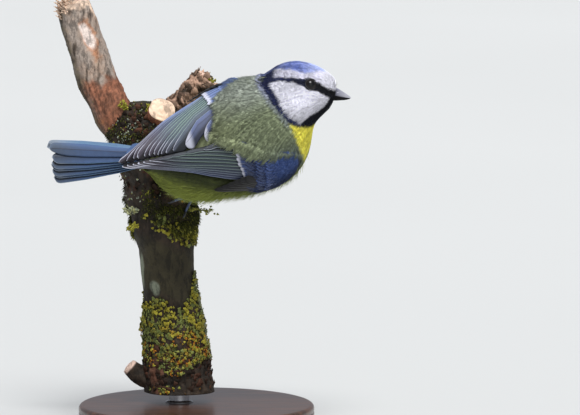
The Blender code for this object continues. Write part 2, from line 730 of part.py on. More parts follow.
def build_branch():
    bark = (0.16, 0.13, 0.09)
    make("perch_stem", stem_solid(), bark, 0.9)
    path = [(-27, 4.5, 110), (-31.2, 4.8, 119), (-34.6, 5, 126.5), (-37.2, 5, 131.5), (-39.2, 5, 136.5),
            (-42.3, 5.2, 146.4), (-45.3, 5.5, 156), (-47.2, 5.6, 162.5), (-47.9, 5.6, 165.2)]
    limb("perch_branch_left", path, [4.5, 8.2, 7.9, 7.5, 7.2, 6.9, 7.1, 6.7, 6.2], (0.25, 0.22, 0.19), 16)
    path = [(-16, 3.5, 114.5), (-14.4, -1.5, 120), (-13.4, -5.0, 122.8), (-12.9, -6.4, 123.6)]
    limb("perch_stub_cut", path, [5.6, 5.5, 5.2, 5.0], (0.72, 0.52, 0.33), 14, 1.0)
    path = [(-12, 7, 115.5), (-6, 7, 122), (-1, 7.2, 127.5), (3.4, 7.4, 132.2), (5.2, 7.5, 134)]
    limb("perch_stub_right", path, [7.0, 6.4, 6.2, 6.0, 5.2], (0.25, 0.17, 0.11), 14, 2.0)
    path = [(-13, 3.5, 16.3), (-19, 3.2, 17.2), (-23, 3.0, 19.4), (-26.6, 2.8, 22.4)]
    limb("perch_stub_low", path, [3.6, 3.7, 3.5, 2.9], (0.35, 0.22, 0.17), 12, 3.0)


FEET = {
    "right": {
        "hip": (-13.0, 8.5, -9.0), "ankle": (3.5, -9.5, 97.5), "at": (0.40, 91.2),
        "toes": [(0.45, 91.5, 1.10, 90.9, 0.8), (0.45, 90.9, 1.16, 88.3, 0.9), (0.40, 90.2, 0.86, 83.6, 0.8),
                 (0.30, 90.6, -0.42, 87.4, 0.85)],
    },
    "left": {
        "hip": (-14.0, -7.0, -9.5), "ankle": (-3.5, -7.4, 106.0), "at": (0.75, 99.5),
        "toes": [(0.80, 99.8, 1.38, 102.0, 0.85), (0.80, 99.4, 1.46, 98.4, 0.9), (0.76, 98.8, 1.14, 94.9, 0.8),
                 (0.68, 99.0, 0.06, 96.6, 0.85)],
    },
}
TOE = [0.85, 0.72, 0.7, 0.6, 0.5]
TOE_LIFT = 1.15


def build_leg(name, plan, colour):
    """Thigh, shank, foot with its toes, and four claws."""
    hip = from_body(plan["hip"])
    ankle = np.array(plan["ankle"])
    foot = stem_point(plan["at"][0], plan["at"][1], 1.75)
    way = (ankle - hip) / np.linalg.norm(ankle - hip)
    knee = hip + (ankle - hip) * 0.55
    thigh = make("thigh_" + name, tube([hip, knee, ankle - way * 0.6, ankle], [4.4, 3.4, 1.9, 1.5], BODY[0], 14),
                 (0.42, 0.43, 0.22), 0.85)
    down = (foot - ankle) / np.linalg.norm(foot - ankle)
    bend = float(np.dot(down, way))
    start = ankle + down * (GAP + 0.9 * math.sqrt(1 - bend ** 2)) / max(bend, 0.3)
    reach_to = foot - down * (1.3 + GAP)
    shin = [start + (reach_to - start) * t for t in (0.0, 0.3, 0.7, 1.0)]
    make("tarsus_" + name, tube(shin, [0.9, 0.75, 0.75, 0.9], BODY[0], 10), colour, 0.5)
    ob = make("foot_" + name, ball(foot, 1.3, 10), colour, 0.5)
    helpers = []
    for i, (a0, z0, a1, z1, thick) in enumerate(plan["toes"]):
        path = []
        for t in np.linspace(0, 1, 5):
            lift = TOE_LIFT - 0.25 * t
            path.append(stem_point(a0 + (a1 - a0) * t, z0 + (z1 - z0) * t, lift))
        helpers.append(make("toe_h%d" % i, tube(path, [r * thick for r in TOE], BODY[0], 7)))
        end = path[-1]
        ahead = (path[-1] - path[-2]) / np.linalg.norm(path[-1] - path[-2])
        a2 = a1 + (a1 - a0) * 0.10
        z2 = z1 + (z1 - z0) * 0.10
        out = stem_point(a2, z2, 3.0) - stem_point(a2, z2, 0.0)
        out /= np.linalg.norm(out)
        begin = end + ahead * (GAP + 0.02)
        claw = [begin, begin + ahead * 0.9 + out * 0.35, begin + ahead * 1.9 + out * 0.25,
                begin + ahead * 2.7 - out * 0.15]
        make("claw_%s_%d" % (name, i + 1), tube(claw, [0.42, 0.4, 0.27, 0.1], out, 8), (0.10, 0.11, 0.14), 0.4)
    combine(ob, helpers, "UNION")
    return thigh


def build_stand():
    rings = []
    angle = np.arange(40) * 2 * math.pi / 40
    circle = np.stack([np.cos(angle), np.sin(angle)], 1)
    for r, z in ((BASE_RADIUS - 0.8, 0.0), (BASE_RADIUS, 0.8), (BASE_RADIUS, BASE_HEIGHT - 1.6),
                 (BASE_RADIUS - 0.5, BASE_HEIGHT - 0.5), (BASE_RADIUS - 1.6, BASE_HEIGHT)):
        rings.append(np.column_stack([circle * r, np.full(40, z)]))
    make("stand_base", loft(rings, (0, 0, 0), (0, 0, BASE_HEIGHT)), (0.10, 0.055, 0.03), 0.4)
    x, _ = stem_row(STEM[0][0])
    low = BASE_HEIGHT + GAP
    high = STEM[0][0] - GAP
    path = [(x, STEM_Y, low), (x, STEM_Y, (low + high) / 2), (x, STEM_Y, high)]
    make("stand_rod", tube(path, [ROD_RADIUS] * 3, (1, 0, 0), 20), (0.55, 0.56, 0.58), 0.3, 1.0)


WING_COLOUR = (0.14, 0.20, 0.36)
trunk = trunk_nodes([build_wing(-1, WING_COLOUR), build_wing(1, WING_COLOUR)])
build_head(trunk["head"])
build_tail()
build_branch()
leg_colour = (0.24, 0.29, 0.42)
thighs = [build_leg(side, FEET[side], leg_colour) for side in ("right", "left")]
for thigh in thighs:
    fat = thigh.copy()
    fat.data = thigh.data.copy()
    for vert in fat.data.vertices:
        vert.co += vert.normal * GAP * MM
    bpy.context.scene.collection.objects.link(fat)
    combine(trunk["torso"], [fat], "DIFFERENCE")
build_stand()
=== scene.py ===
"""Looks of a life-size blue tit on a cut length of branch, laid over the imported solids.

Shapes are worked out in millimetres in the frame of the solids: the origin is the
middle of the base's underside, +Z is up, the bird looks to +X with its back to -Y.
"""
import math
import bpy
import numpy as np
from mathutils import Matrix


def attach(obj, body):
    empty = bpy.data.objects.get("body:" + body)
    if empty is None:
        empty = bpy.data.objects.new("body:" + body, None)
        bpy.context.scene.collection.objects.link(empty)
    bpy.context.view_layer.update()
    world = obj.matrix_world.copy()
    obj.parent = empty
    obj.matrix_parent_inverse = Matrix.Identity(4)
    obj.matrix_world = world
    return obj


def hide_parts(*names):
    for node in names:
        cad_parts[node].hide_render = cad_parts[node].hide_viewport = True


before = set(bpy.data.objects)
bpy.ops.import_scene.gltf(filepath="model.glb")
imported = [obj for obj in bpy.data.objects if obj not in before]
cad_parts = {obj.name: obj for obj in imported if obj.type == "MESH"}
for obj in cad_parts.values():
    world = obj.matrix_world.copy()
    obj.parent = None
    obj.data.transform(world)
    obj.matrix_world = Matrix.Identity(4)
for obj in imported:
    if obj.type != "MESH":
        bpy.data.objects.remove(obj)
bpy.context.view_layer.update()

MM = 0.001

# Camera: aim point in mm, distance, downward tilt and picture scale
AIM = np.array([36.5, -20.0, 87.1])
CAMERA_DISTANCE = 1800.0
CAMERA_TILT = 6.0
PICTURE_WIDTH = 580
PIXELS_PER_MM = 2.6
SENSOR = 36.0

# Pose of body and head: heading, pitch and roll in degrees
BODY_CENTRE = (17.7, -22.0, 114.1)
BODY_POSE = (14.0, 12.5, 65.0)
HEAD_CENTRE = (41.3, -19.0, 131.8)
HEAD_POSE = (2.0, -9.0, 10.0)
BLEND = 1.6

# Rounded masses: forward, right, up of the centre, then the three half lengths
BODY_MASSES = [
    (0, 0, 0, 25, 21.5, 19.5),
    (9, 0, -2.0, 18, 19.5, 18.5),
    (-15, 1.5, -2.5, 22, 18.0, 15.5),
    (-33, -1.2, 2.4, 12, 6.5, 5.5),
    (16, -5, 5.5, 12.5, 14.0, 13.0),
]
HEAD_MASSES = [
    (-2.0, 0, 0.0, 13.0, 9.6, 11.3),
    (5.5, 0, 1.6, 8.3, 6.8, 7.0),
    (-3.5, 0, -5.0, 11.0, 9.8, 7.8),
]

# Plumage depth over the skin
COAT = 0.9


# Numbers


def srgb(red, green, blue):
    """Linear light of a screen colour from 0 to 255: ((c + 0.055) / 1.055) ^ 2.4."""
    c = np.array([red, green, blue], float) / 255
    return np.where(c <= 0.04045, c / 12.92, ((c + 0.055) / 1.055) ** 2.4)


def smooth(x):
    """Eased step: 3x^2 - 2x^3 between 0 and 1."""
    x = np.clip(x, 0.0, 1.0)
    return x * x * (3 - 2 * x)


def mixed(a, b, share):
    """a where share is 0, b where it is 1."""
    share = np.asarray(share, float)[..., None]
    return a * (1 - share) + b * share


def unit(v):
    """v over its length."""
    return v / (np.linalg.norm(v, axis=-1, keepdims=True) + 1e-12)


def square_ways(along, across):
    """Two unit ways across a path: the given one made square to it, and along x that."""
    first = unit(across - along * (along @ across)[..., None])
    return first, np.cross(along, first)


def turns(count):
    """That many even steps round a circle."""
    return np.arange(count) * 2 * math.pi / count


def centred(angle):
    """Angle brought between minus and plus half a turn."""
    return np.mod(angle + math.pi, 2 * math.pi) - math.pi


def bell(*parts):
    """exp(-(a^2 + b^2)) of one or two offsets in widths."""
    return np.exp(-sum(part ** 2 for part in parts))


def looked_up(x, rows, column=1):
    """Straight lines between rows that are sorted by their first number."""
    rows = np.asarray(rows, float)
    return np.interp(x, rows[:, 0], rows[:, column])


LATTICE = np.random.default_rng(11).random((24, 24, 24))


def noise(points, size, seed=0):
    """Value noise from 0 to 1: random numbers at the corners of cubes of the given
    size, blended inside each cube by the eased step along its three sides."""
    p = points / size + seed * 7.31
    cell = np.floor(p).astype(int)
    ease = smooth(p - cell)
    total = np.zeros(p.shape[:-1])
    for corner in np.ndindex(2, 2, 2):
        share = np.prod(np.where(corner, ease, 1 - ease), axis=-1)
        i, j, k = np.moveaxis((cell + corner) % 24, -1, 0)
        total += share * LATTICE[i, j, k]
    return total


def rough(points, size, seed=0, steps=3):
    """Noise summed over halved sizes with halved weights, from -1 to 1."""
    total = np.zeros(points.shape[:-1])
    for step in range(steps):
        total += (noise(points, size / 2 ** step, seed + step) * 2 - 1) / 2 ** step
    return total / (2 - 2 ** (1 - steps))


def signed(points, outline):
    """Distance in the plane to a closed outline, below zero inside: the least
    distance to its edges, with the sign of the even-odd count of edges passed."""
    outline = np.asarray(outline, float)
    best = np.full(len(points), np.inf)
    inside = np.zeros(len(points), bool)
    for a, b in zip(outline, np.roll(outline, -1, 0)):
        edge = b - a
        rel = points - a
        share = np.clip(rel @ edge / (edge @ edge), 0, 1)
        best = np.minimum(best, np.linalg.norm(rel - share[:, None] * edge, axis=1))
        spans = (a[1] > points[:, 1]) != (b[1] > points[:, 1])
        crossing = a[0] + (points[:, 1] - a[1]) * edge[0] / (edge[1] + 1e-12)
        inside ^= spans & (points[:, 0] < crossing)
    return np.where(inside, -best, best)


def curve(rows, at):
    """Smooth curve through evenly stepped rows (Catmull-Rom cubic)."""
    rows = np.asarray(rows, float)
    padded = np.vstack([2 * rows[0] - rows[1], rows, 2 * rows[-1] - rows[-2]])
    at = np.atleast_1d(np.asarray(at, float))
    i = np.clip(np.floor(at).astype(int), 0, len(rows) - 2)
    t = (at - i)[:, None]
    a, b, c, d = padded[i], padded[i + 1], padded[i + 2], padded[i + 3]
    start = 2 * b + (c - a) * t
    return 0.5 * (start + (2 * a - 5 * b + 4 * c - d) * t ** 2 + (3 * b - a - 3 * c + d) * t ** 3)


# Meshes


class Shape:
    """Corners in millimetres, faces of four or three corners, and values per corner."""

    def __init__(self, verts, quads=(), tris=(), **values):
        self.verts = np.asarray(verts, float).reshape(-1, 3)
        self.quads = np.asarray(quads, int).reshape(-1, 4)
        self.tris = np.asarray(tris, int).reshape(-1, 3)
        self.values = {key: np.asarray(value, float) for key, value in values.items()}

    def paint(self, **values):
        """Adds values, one for the whole shape or one per corner."""
        for key, value in values.items():
            value = np.asarray(value, float)
            if value.ndim < 2 and len(value.ravel()) != len(self.verts):
                value = np.broadcast_to(value, (len(self.verts),) + value.shape)
            self.values[key] = np.array(value)
        return self

    def outward(self):
        """Turns the faces round if the volume, the sum of a.(b x c) / 6, is negative."""
        tris = np.vstack([self.tris, self.quads[:, [0, 1, 2]], self.quads[:, [0, 2, 3]]])
        a, b, c = (self.verts[tris[:, k]] for k in range(3))
        if (a * np.cross(b, c)).sum() < 0:
            self.quads = self.quads[:, ::-1]
            self.tris = self.tris[:, ::-1]
        return self


def joined(shapes):
    """One shape from many, each one's corner numbers moved up by those before it."""
    starts = np.cumsum([0] + [len(s.verts) for s in shapes[:-1]])
    values = {key: np.concatenate([s.values[key] for s in shapes]) for key in shapes[0].values}
    return Shape(
        np.vstack([s.verts for s in shapes]),
        np.vstack([s.quads + n for s, n in zip(shapes, starts)]),
        np.vstack([s.tris + n for s, n in zip(shapes, starts)]),
        **values,
    )


def wrapped(rings, start, end):
    """Closed surface through rings (count, turn, 3) with a pole at each end."""
    count, turn = rings.shape[:2]
    i, j = np.meshgrid(np.arange(count - 1), np.arange(turn), indexing="ij")
    a = (i * turn + j).ravel()
    b = (i * turn + (j + 1) % turn).ravel()
    low, high = count * turn, count * turn + 1
    k = np.arange(turn)
    last = (count - 1) * turn
    tris = [np.stack([np.full(turn, low), (k + 1) % turn, k], 1)]
    tris.append(np.stack([last + k, last + (k + 1) % turn, np.full(turn, high)], 1))
    verts = np.vstack([rings.reshape(-1, 3), np.reshape(start, (1, 3)), np.reshape(end, (1, 3))])
    return Shape(verts, np.stack([a, b, b + turn, a + turn], 1), np.vstack(tris)).outward()


def tube(path, radius, across=(0, 0, 1), turn=12, bulge=None):
    """Closed tube: circles of the given radius, or (one way, other way), across the
    path's direction; bulge is a factor on the radius per station and turn."""
    path = np.asarray(path, float)
    e1, e2 = square_ways(unit(np.gradient(path, axis=0)), np.asarray(across, float))
    angle = turns(turn)
    radius = np.asarray(radius, float)
    two = radius if radius.ndim == 2 else np.stack([radius, radius], 1)
    grow = 1.0 if bulge is None else np.asarray(bulge)[..., None]
    spread = np.cos(angle)[None, :, None] * (e1 * two[:, :1])[:, None]
    spread = spread + np.sin(angle)[None, :, None] * (e2 * two[:, 1:])[:, None]
    return wrapped(path[:, None] + spread * grow, path[0], path[-1])


def ball(centre, radius, turn):
    """Sphere: radius times (sin p cos a, sin p sin a, cos p)."""
    polar = np.arange(1, turn // 2) * math.pi / (turn // 2)
    angle = turns(turn)
    flat = np.sin(polar)[:, None]
    rings = np.stack([flat * np.cos(angle), flat * np.sin(angle), np.cos(polar)[:, None] + 0 * angle], -1)
    pole = np.array([0, 0, radius])
    return wrapped(rings * radius + centre, centre + pole, centre - pole)


def slab(top, bottom):
    """Closed sheet between two like grids (along, across, 3)."""
    n, m = top.shape[:2]
    i, j = np.meshgrid(np.arange(n - 1), np.arange(m - 1), indexing="ij")
    a = (i * m + j).ravel()
    upper = np.stack([a, a + m, a + m + 1, a + 1], 1)
    low = n * m
    rim = np.concatenate([
        np.arange(n) * m, (n - 1) * m + np.arange(1, m),
        np.arange(n - 2, -1, -1) * m + m - 1, np.arange(m - 2, 0, -1),
    ])
    after = np.roll(rim, -1)
    sides = np.stack([rim, low + rim, low + after, after], 1)
    verts = np.vstack([top.reshape(-1, 3), bottom.reshape(-1, 3)])
    return Shape(verts, np.vstack([upper, low + upper[:, ::-1], sides])).outward()


def grid_normals(grid):
    """Unit normals of a grid of points, from its two gradients."""
    along = np.gradient(grid, axis=0)
    across = np.gradient(grid, axis=1)
    return unit(np.cross(along, across))


def piece(name, shape, finish, replaces=()):
    """Object from a shape, with its values as attributes, riding on the one body."""
    mesh = bpy.data.meshes.new(name)
    corners = np.concatenate([shape.quads.ravel(), shape.tris.ravel()])
    sizes = np.concatenate([np.full(len(shape.quads), 4), np.full(len(shape.tris), 3)])
    mesh.vertices.add(len(shape.verts))
    mesh.vertices.foreach_set("co", (shape.verts * MM).astype(np.float32).ravel())
    mesh.loops.add(len(corners))
    mesh.loops.foreach_set("vertex_index", corners.astype(np.int32))
    mesh.polygons.add(len(sizes))
    mesh.polygons.foreach_set("loop_start", (np.cumsum(sizes) - sizes).astype(np.int32))
    mesh.update(calc_edges=True)
    mesh.polygons.foreach_set("use_smooth", np.full(len(sizes), True))
    for key, value in shape.values.items():
        if key == "OFBake":
            mesh.uv_layers.new(name=key).data.foreach_set("uv", value[corners].astype(np.float32).ravel())
        elif value.ndim == 1:
            mesh.attributes.new(key, "FLOAT", "POINT").data.foreach_set("value", value.astype(np.float32))
        elif value.shape[1] == 3:
            data = mesh.attributes.new(key, "FLOAT_VECTOR", "POINT").data
            data.foreach_set("vector", value.astype(np.float32).ravel())
        else:
            data = mesh.attributes.new(key, "FLOAT_COLOR", "POINT").data
            data.foreach_set("color", value.astype(np.float32).ravel())
    mesh.materials.append(finish)
    ob = bpy.data.objects.new(name, mesh)
    bpy.context.scene.collection.objects.link(ob)
    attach(ob, "root")
    if replaces:
        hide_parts(*replaces)


# Finishes


class Sock:
    """A socket whose sums, products and quotients become Math nodes."""

    def __init__(self, paint, socket):
        self.paint = paint
        self.socket = socket


def operator(kind, swapped):
    """A method that adds a Math node of that kind, with its two values swapped or not."""
    def method(self, other):
        return self.paint.math(kind, other, self) if swapped else self.paint.math(kind, self, other)
    return method


for word, kind in (("add", "ADD"), ("sub", "SUBTRACT"), ("mul", "MULTIPLY"), ("truediv", "DIVIDE")):
    setattr(Sock, "__%s__" % word, operator(kind, False))
    setattr(Sock, "__r%s__" % word, operator(kind, True))


class Paint:
    """A finish and the nodes behind it; constants go straight on the shader's sockets."""

    def __init__(self, name, **constants):
        self.finish = bpy.data.materials.new(name)
        self.finish.use_nodes = True
        self.tree = self.finish.node_tree
        self.shader = self.tree.nodes["Principled BSDF"]
        for key, value in constants.items():
            self.shader.inputs[key.replace("_", " ")].default_value = value

    def put(self, target, value):
        """Links a socket or sets a plain value."""
        if isinstance(value, Sock):
            self.tree.links.new(value.socket, target)
        elif isinstance(value, (tuple, list, np.ndarray)):
            value = [float(v) for v in value]
            size = len(target.default_value)
            target.default_value = value + [1.0] * (size - len(value)) if size > len(value) else value[:size]
        else:
            target.default_value = value

    def node(self, kind, settings=None, inputs=None, out=0):
        """A node of a type: its settings first, then the values or links of its sockets."""
        made = self.tree.nodes.new(kind)
        for key, value in (settings or {}).items():
            setattr(made, key, value)
        for key, value in (inputs or {}).items():
            self.put(made.inputs[key], value)
        return Sock(self, made.outputs[out])

    def math(self, operation, a, b=0.0):
        """A Math node."""
        return self.node("ShaderNodeMath", {"operation": operation}, {0: a, 1: b})

    def step(self, value, low, high):
        """0 below low, 1 above high, eased between them."""
        settings = {"interpolation_type": "SMOOTHSTEP"}
        return self.node("ShaderNodeMapRange", settings, {0: value, 1: low, 2: high, 3: 0.0, 4: 1.0})

    def spread(self, value, low, high):
        """A value from 0 to 1 laid out between low and high."""
        return self.node("ShaderNodeMapRange", None, {0: value, 1: 0.0, 2: 1.0, 3: low, 4: high})

    def blend(self, share, a, b):
        """Colour a where share is 0, b where it is 1."""
        return self.node("ShaderNodeMix", {"data_type": "RGBA"}, {0: share, 6: a, 7: b}, 2)

    def scaled(self, colour, factor):
        """A colour times a number."""
        return self.node("ShaderNodeVectorMath", {"operation": "SCALE"}, {0: colour, 3: factor})

    def attribute(self, name, out=2):
        """A value of the mesh: out 0 is a colour, 1 a vector, 2 a number, 3 alpha."""
        return self.node("ShaderNodeAttribute", {"attribute_name": name}, None, out)

    def place(self):
        """Object coordinates in metres."""
        return self.node("ShaderNodeTexCoord", None, None, 3)

    def stretched(self, scale):
        """Object coordinates, scaled."""
        return self.node("ShaderNodeMapping", None, {"Vector": self.place(), "Scale": scale})

    def noise(self, vector, scale, detail=2.0, roughness=0.5):
        """Noise from 0 to 1 at a place times the scale."""
        inputs = {"Vector": vector, "Scale": scale, "Detail": detail, "Roughness": roughness}
        return self.node("ShaderNodeTexNoise", None, inputs)

    def parts(self, vector):
        """The three numbers of a vector."""
        made = self.tree.nodes.new("ShaderNodeSeparateXYZ")
        self.put(made.inputs[0], vector)
        return [Sock(self, out) for out in made.outputs]

    def wear(self, colour=None, roughness=None, height=None, strength=0.3, distance=0.0002):
        """Ends the finish: colour, roughness and a bump into the normal."""
        if colour is not None:
            self.put(self.shader.inputs["Base Color"], colour)
        if roughness is not None:
            self.put(self.shader.inputs["Roughness"], roughness)
        if height is not None:
            inputs = {"Height": height, "Strength": strength, "Distance": distance}
            self.put(self.shader.inputs["Normal"], self.node("ShaderNodeBump", None, inputs))
        return self.finish


# Body, neck and head


def pose_axes(heading, pitch, roll):
    """Rows forward, right, up of a frame turned by heading, pitch and roll in degrees."""
    a, p, r = (np.radians(np.asarray(v, float)) for v in (heading, pitch, roll))
    f = np.stack([np.cos(a) * np.cos(p), np.sin(a) * np.cos(p), np.sin(p)], -1)
    right = np.stack([np.sin(a), -np.cos(a), np.zeros_like(a)], -1)
    up = np.cross(right, f)
    c, s = np.cos(r)[..., None], np.sin(r)[..., None]
    return np.stack([f, right * c - up * s, up * c + right * s], -2)


BODY = pose_axes(*BODY_POSE)
HEAD = pose_axes(*HEAD_POSE)
BODY_AT = np.array(BODY_CENTRE)
HEAD_AT = np.array(HEAD_CENTRE)


def from_body(q):
    """Room point of a body point: q times the body's axes, plus its centre."""
    return np.asarray(q, float) @ BODY + BODY_AT


def from_head(q):
    """The same for the head."""
    return np.asarray(q, float) @ HEAD + HEAD_AT


def to_body(points):
    """Forward, right and up of room points, seen from the body's centre."""
    return (points - BODY_AT) @ BODY.T


def to_head(points):
    """The same for the head."""
    return (points - HEAD_AT) @ HEAD.T


def roll_of(body):
    """Angle round the body's axis from the middle of the back, above zero on the right."""
    return np.arctan2(body[:, 1], body[:, 2])


MASSES = [(from_body(m[:3]), BODY, np.array(m[3:], float)) for m in BODY_MASSES]
MASSES += [(from_head(m[:3]), HEAD, np.array(m[3:], float)) for m in HEAD_MASSES]


def field(points):
    """Distance to the trunk, near enough: k0 (k0 - 1) / k1 for each rounded mass,
    with k0 and k1 the lengths of q / h and q / h^2, blended by a sum of exponentials."""
    rows = []
    for centre, axes, half in MASSES:
        q = (points - centre) @ axes.T
        k0 = np.sqrt(((q / half) ** 2).sum(-1)) + 1e-9
        k1 = np.sqrt(((q / half ** 2) ** 2).sum(-1)) + 1e-9
        rows.append(k0 * (k0 - 1) / k1)
    rows = np.array(rows)
    low = rows.min(0)
    return low - BLEND * np.log(np.exp(-(rows - low) / BLEND).sum(0))


def slope(points, step=0.05):
    """Outward direction: differences of the distance along x, y and z."""
    here = field(points)
    return unit(np.stack([field(points + e * step) - here for e in np.eye(3)], -1))


def reach(origin, direction):
    """Distance from a point inside to the surface, by halving."""
    shape = np.broadcast(origin[..., 0], direction[..., 0]).shape
    near = np.zeros(shape)
    far = np.full(shape, 45.0)
    for _ in range(20):
        mid = (near + far) / 2
        inside = field(origin + direction * mid[..., None]) < 0
        near = np.where(inside, mid, near)
        far = np.where(inside, far, mid)
    return (near + far) / 2


# The spine: rows of point, heading, pitch and roll at even steps from rump to bill
SPINE = [
    [*from_body((-36.3, -1.6, 3.0)), *BODY_POSE],
    [*from_body((-25, -0.4, 0.6)), *BODY_POSE],
    [*from_body((-12, 0, 0)), *BODY_POSE],
    [*from_body((1, -0.5, 0)), 14, 13.5, 65],
    [29.5, -20.5, 118.4, 12, 22, 58],
    [34.2, -20.0, 127.2, 8, 36, 42],
    [38.0, -19.6, 129.9, 5, 29, 30],
    [41.9, -19.2, 131.4, 4, 19, 20],
    [45.7, -19.0, 131.8, 3, 8, 13],
    [49.2, -18.9, 131.5, 2, -2, 10],
    [52.2, -18.8, 130.9, 2, -9, 10],
    [54.8, -18.7, 130.4, 2, -9, 10],
]
SPINE_END = 10.0
TRUNK_ROWS = 190
NOSE_ROWS = 16
TRUNK_TURN = 150


def trunk_steps(rows, nose):
    """Steps along the spine; those past its end tilt forward to the bill."""
    return np.concatenate([np.linspace(0, SPINE_END, rows), SPINE_END + np.arange(1, nose) / nose])


def trunk(steps, turn, sink=0.0):
    """Centres and points round the spine: each point is where a spoke of the plane
    across the spine meets the surface, less the sink; past the end spokes tilt ahead."""
    rows = curve(SPINE, np.minimum(steps, SPINE_END))
    axes = pose_axes(rows[:, 3], rows[:, 4], rows[:, 5])
    tilt = np.clip(steps - SPINE_END, 0, 1)[:, None, None] * math.pi / 2
    angle = turns(turn)[None, :, None]
    spoke = np.cos(angle) * axes[:, None, 2] + np.sin(angle) * axes[:, None, 1]
    spoke = spoke * np.cos(tilt) + axes[:, None, 0] * np.sin(tilt)
    centre = rows[:, None, :3]
    return rows[:, :3], centre + spoke * (reach(centre, spoke) - sink)[..., None]


# Markings of the head, seen from its side: forward and up in mm
HOOD = [
    (-16.8, 14), (-16.8, 6), (-17.3, 2.4), (-14.5, 0.1), (-11.4, -2.8), (-8, -5.7), (-4.6, -8.5),
    (-2.1, -9.6), (0.5, -10.6), (5.3, -10.9), (9, -11.2), (18, -11.2), (18, 14),
]
CHEEK = [
    (-13.6, 3.4), (-10, 4.8), (-4.5, 5.2), (-1.5, 4.4), (1.4, 3.4), (6.1, 2.7), (9, 1.2), (10.2, 0.4),
    (9.9, -1.2), (8.7, -3.4), (6.6, -5.4), (3.6, -6.6), (1.3, -8.5), (0.2, -9.5), (-3.0, -7.5),
    (-6.1, -5.6), (-8.4, -3.3), (-9.6, -1.1), (-11.6, 1.0), (-13.6, 2.7),
]
STRIPE_TOP = [
    (-12.9, 5.3), (-10.1, 6.0), (-4.7, 6.7), (-0.8, 6.9), (3.1, 6.8), (6.7, 5.5), (10, 4.0), (12, 3.4),
]
# Half width of the cap by the way forward
CAP_EDGE = [(-17, 3.0), (-12.6, 1.8), (-8.9, 4.2), (-5, 5.9), (-0.5, 6.2), (3.3, 4.3), (7.3, 0.6), (9, -2)]
# Front edge of the mantle against the yellow breast: degrees from the back, then mm forward
BREAST_EDGE = [(0, 15.0), (18, 15.2), (32, 16.2), (47, 17.2), (65, 18.7), (86, 20.0)]
# Lower edge of the folded wing against the flank: mm forward, degrees from the back
WING_HEM = [(-40, 42), (-30, 46), (-20, 55), (-10, 66), (0, 84), (20, 90)]

WHITE = srgb(242, 241, 250)
BROW = srgb(238, 236, 250)
# The rear cap blue is partly painted shade on the back of the crown; the front one is the pale blue next to
# the white forehead, partly painted light.
CAP = srgb(116, 136, 216)
CAP_REAR = srgb(68, 80, 140)
CAP_FRONT = srgb(200, 211, 252)
NAVY = srgb(36, 44, 84)
BLACK = srgb(15, 15, 18)
YELLOW = srgb(250, 240, 96)
MANTLE = srgb(140, 150, 118)
# This pale cool mantle tint is painted sky light on the side turned up; the dark one after it is painted
# shade on the lower sides.
MANTLE_SKYLIT = srgb(180, 187, 178)
MANTLE_SHADED = srgb(94, 104, 96)
MANTLE_WARM = srgb(154, 162, 122)
FRINGE = srgb(180, 186, 214)
# The belly colour is the yellow-green underside partly darkened as painted shade; the flank colour after it
# is darker still, painted shade under the body.
BELLY = srgb(136, 146, 62)
FLANK_SHADED = srgb(72, 80, 38)
RUMP = srgb(160, 168, 104)


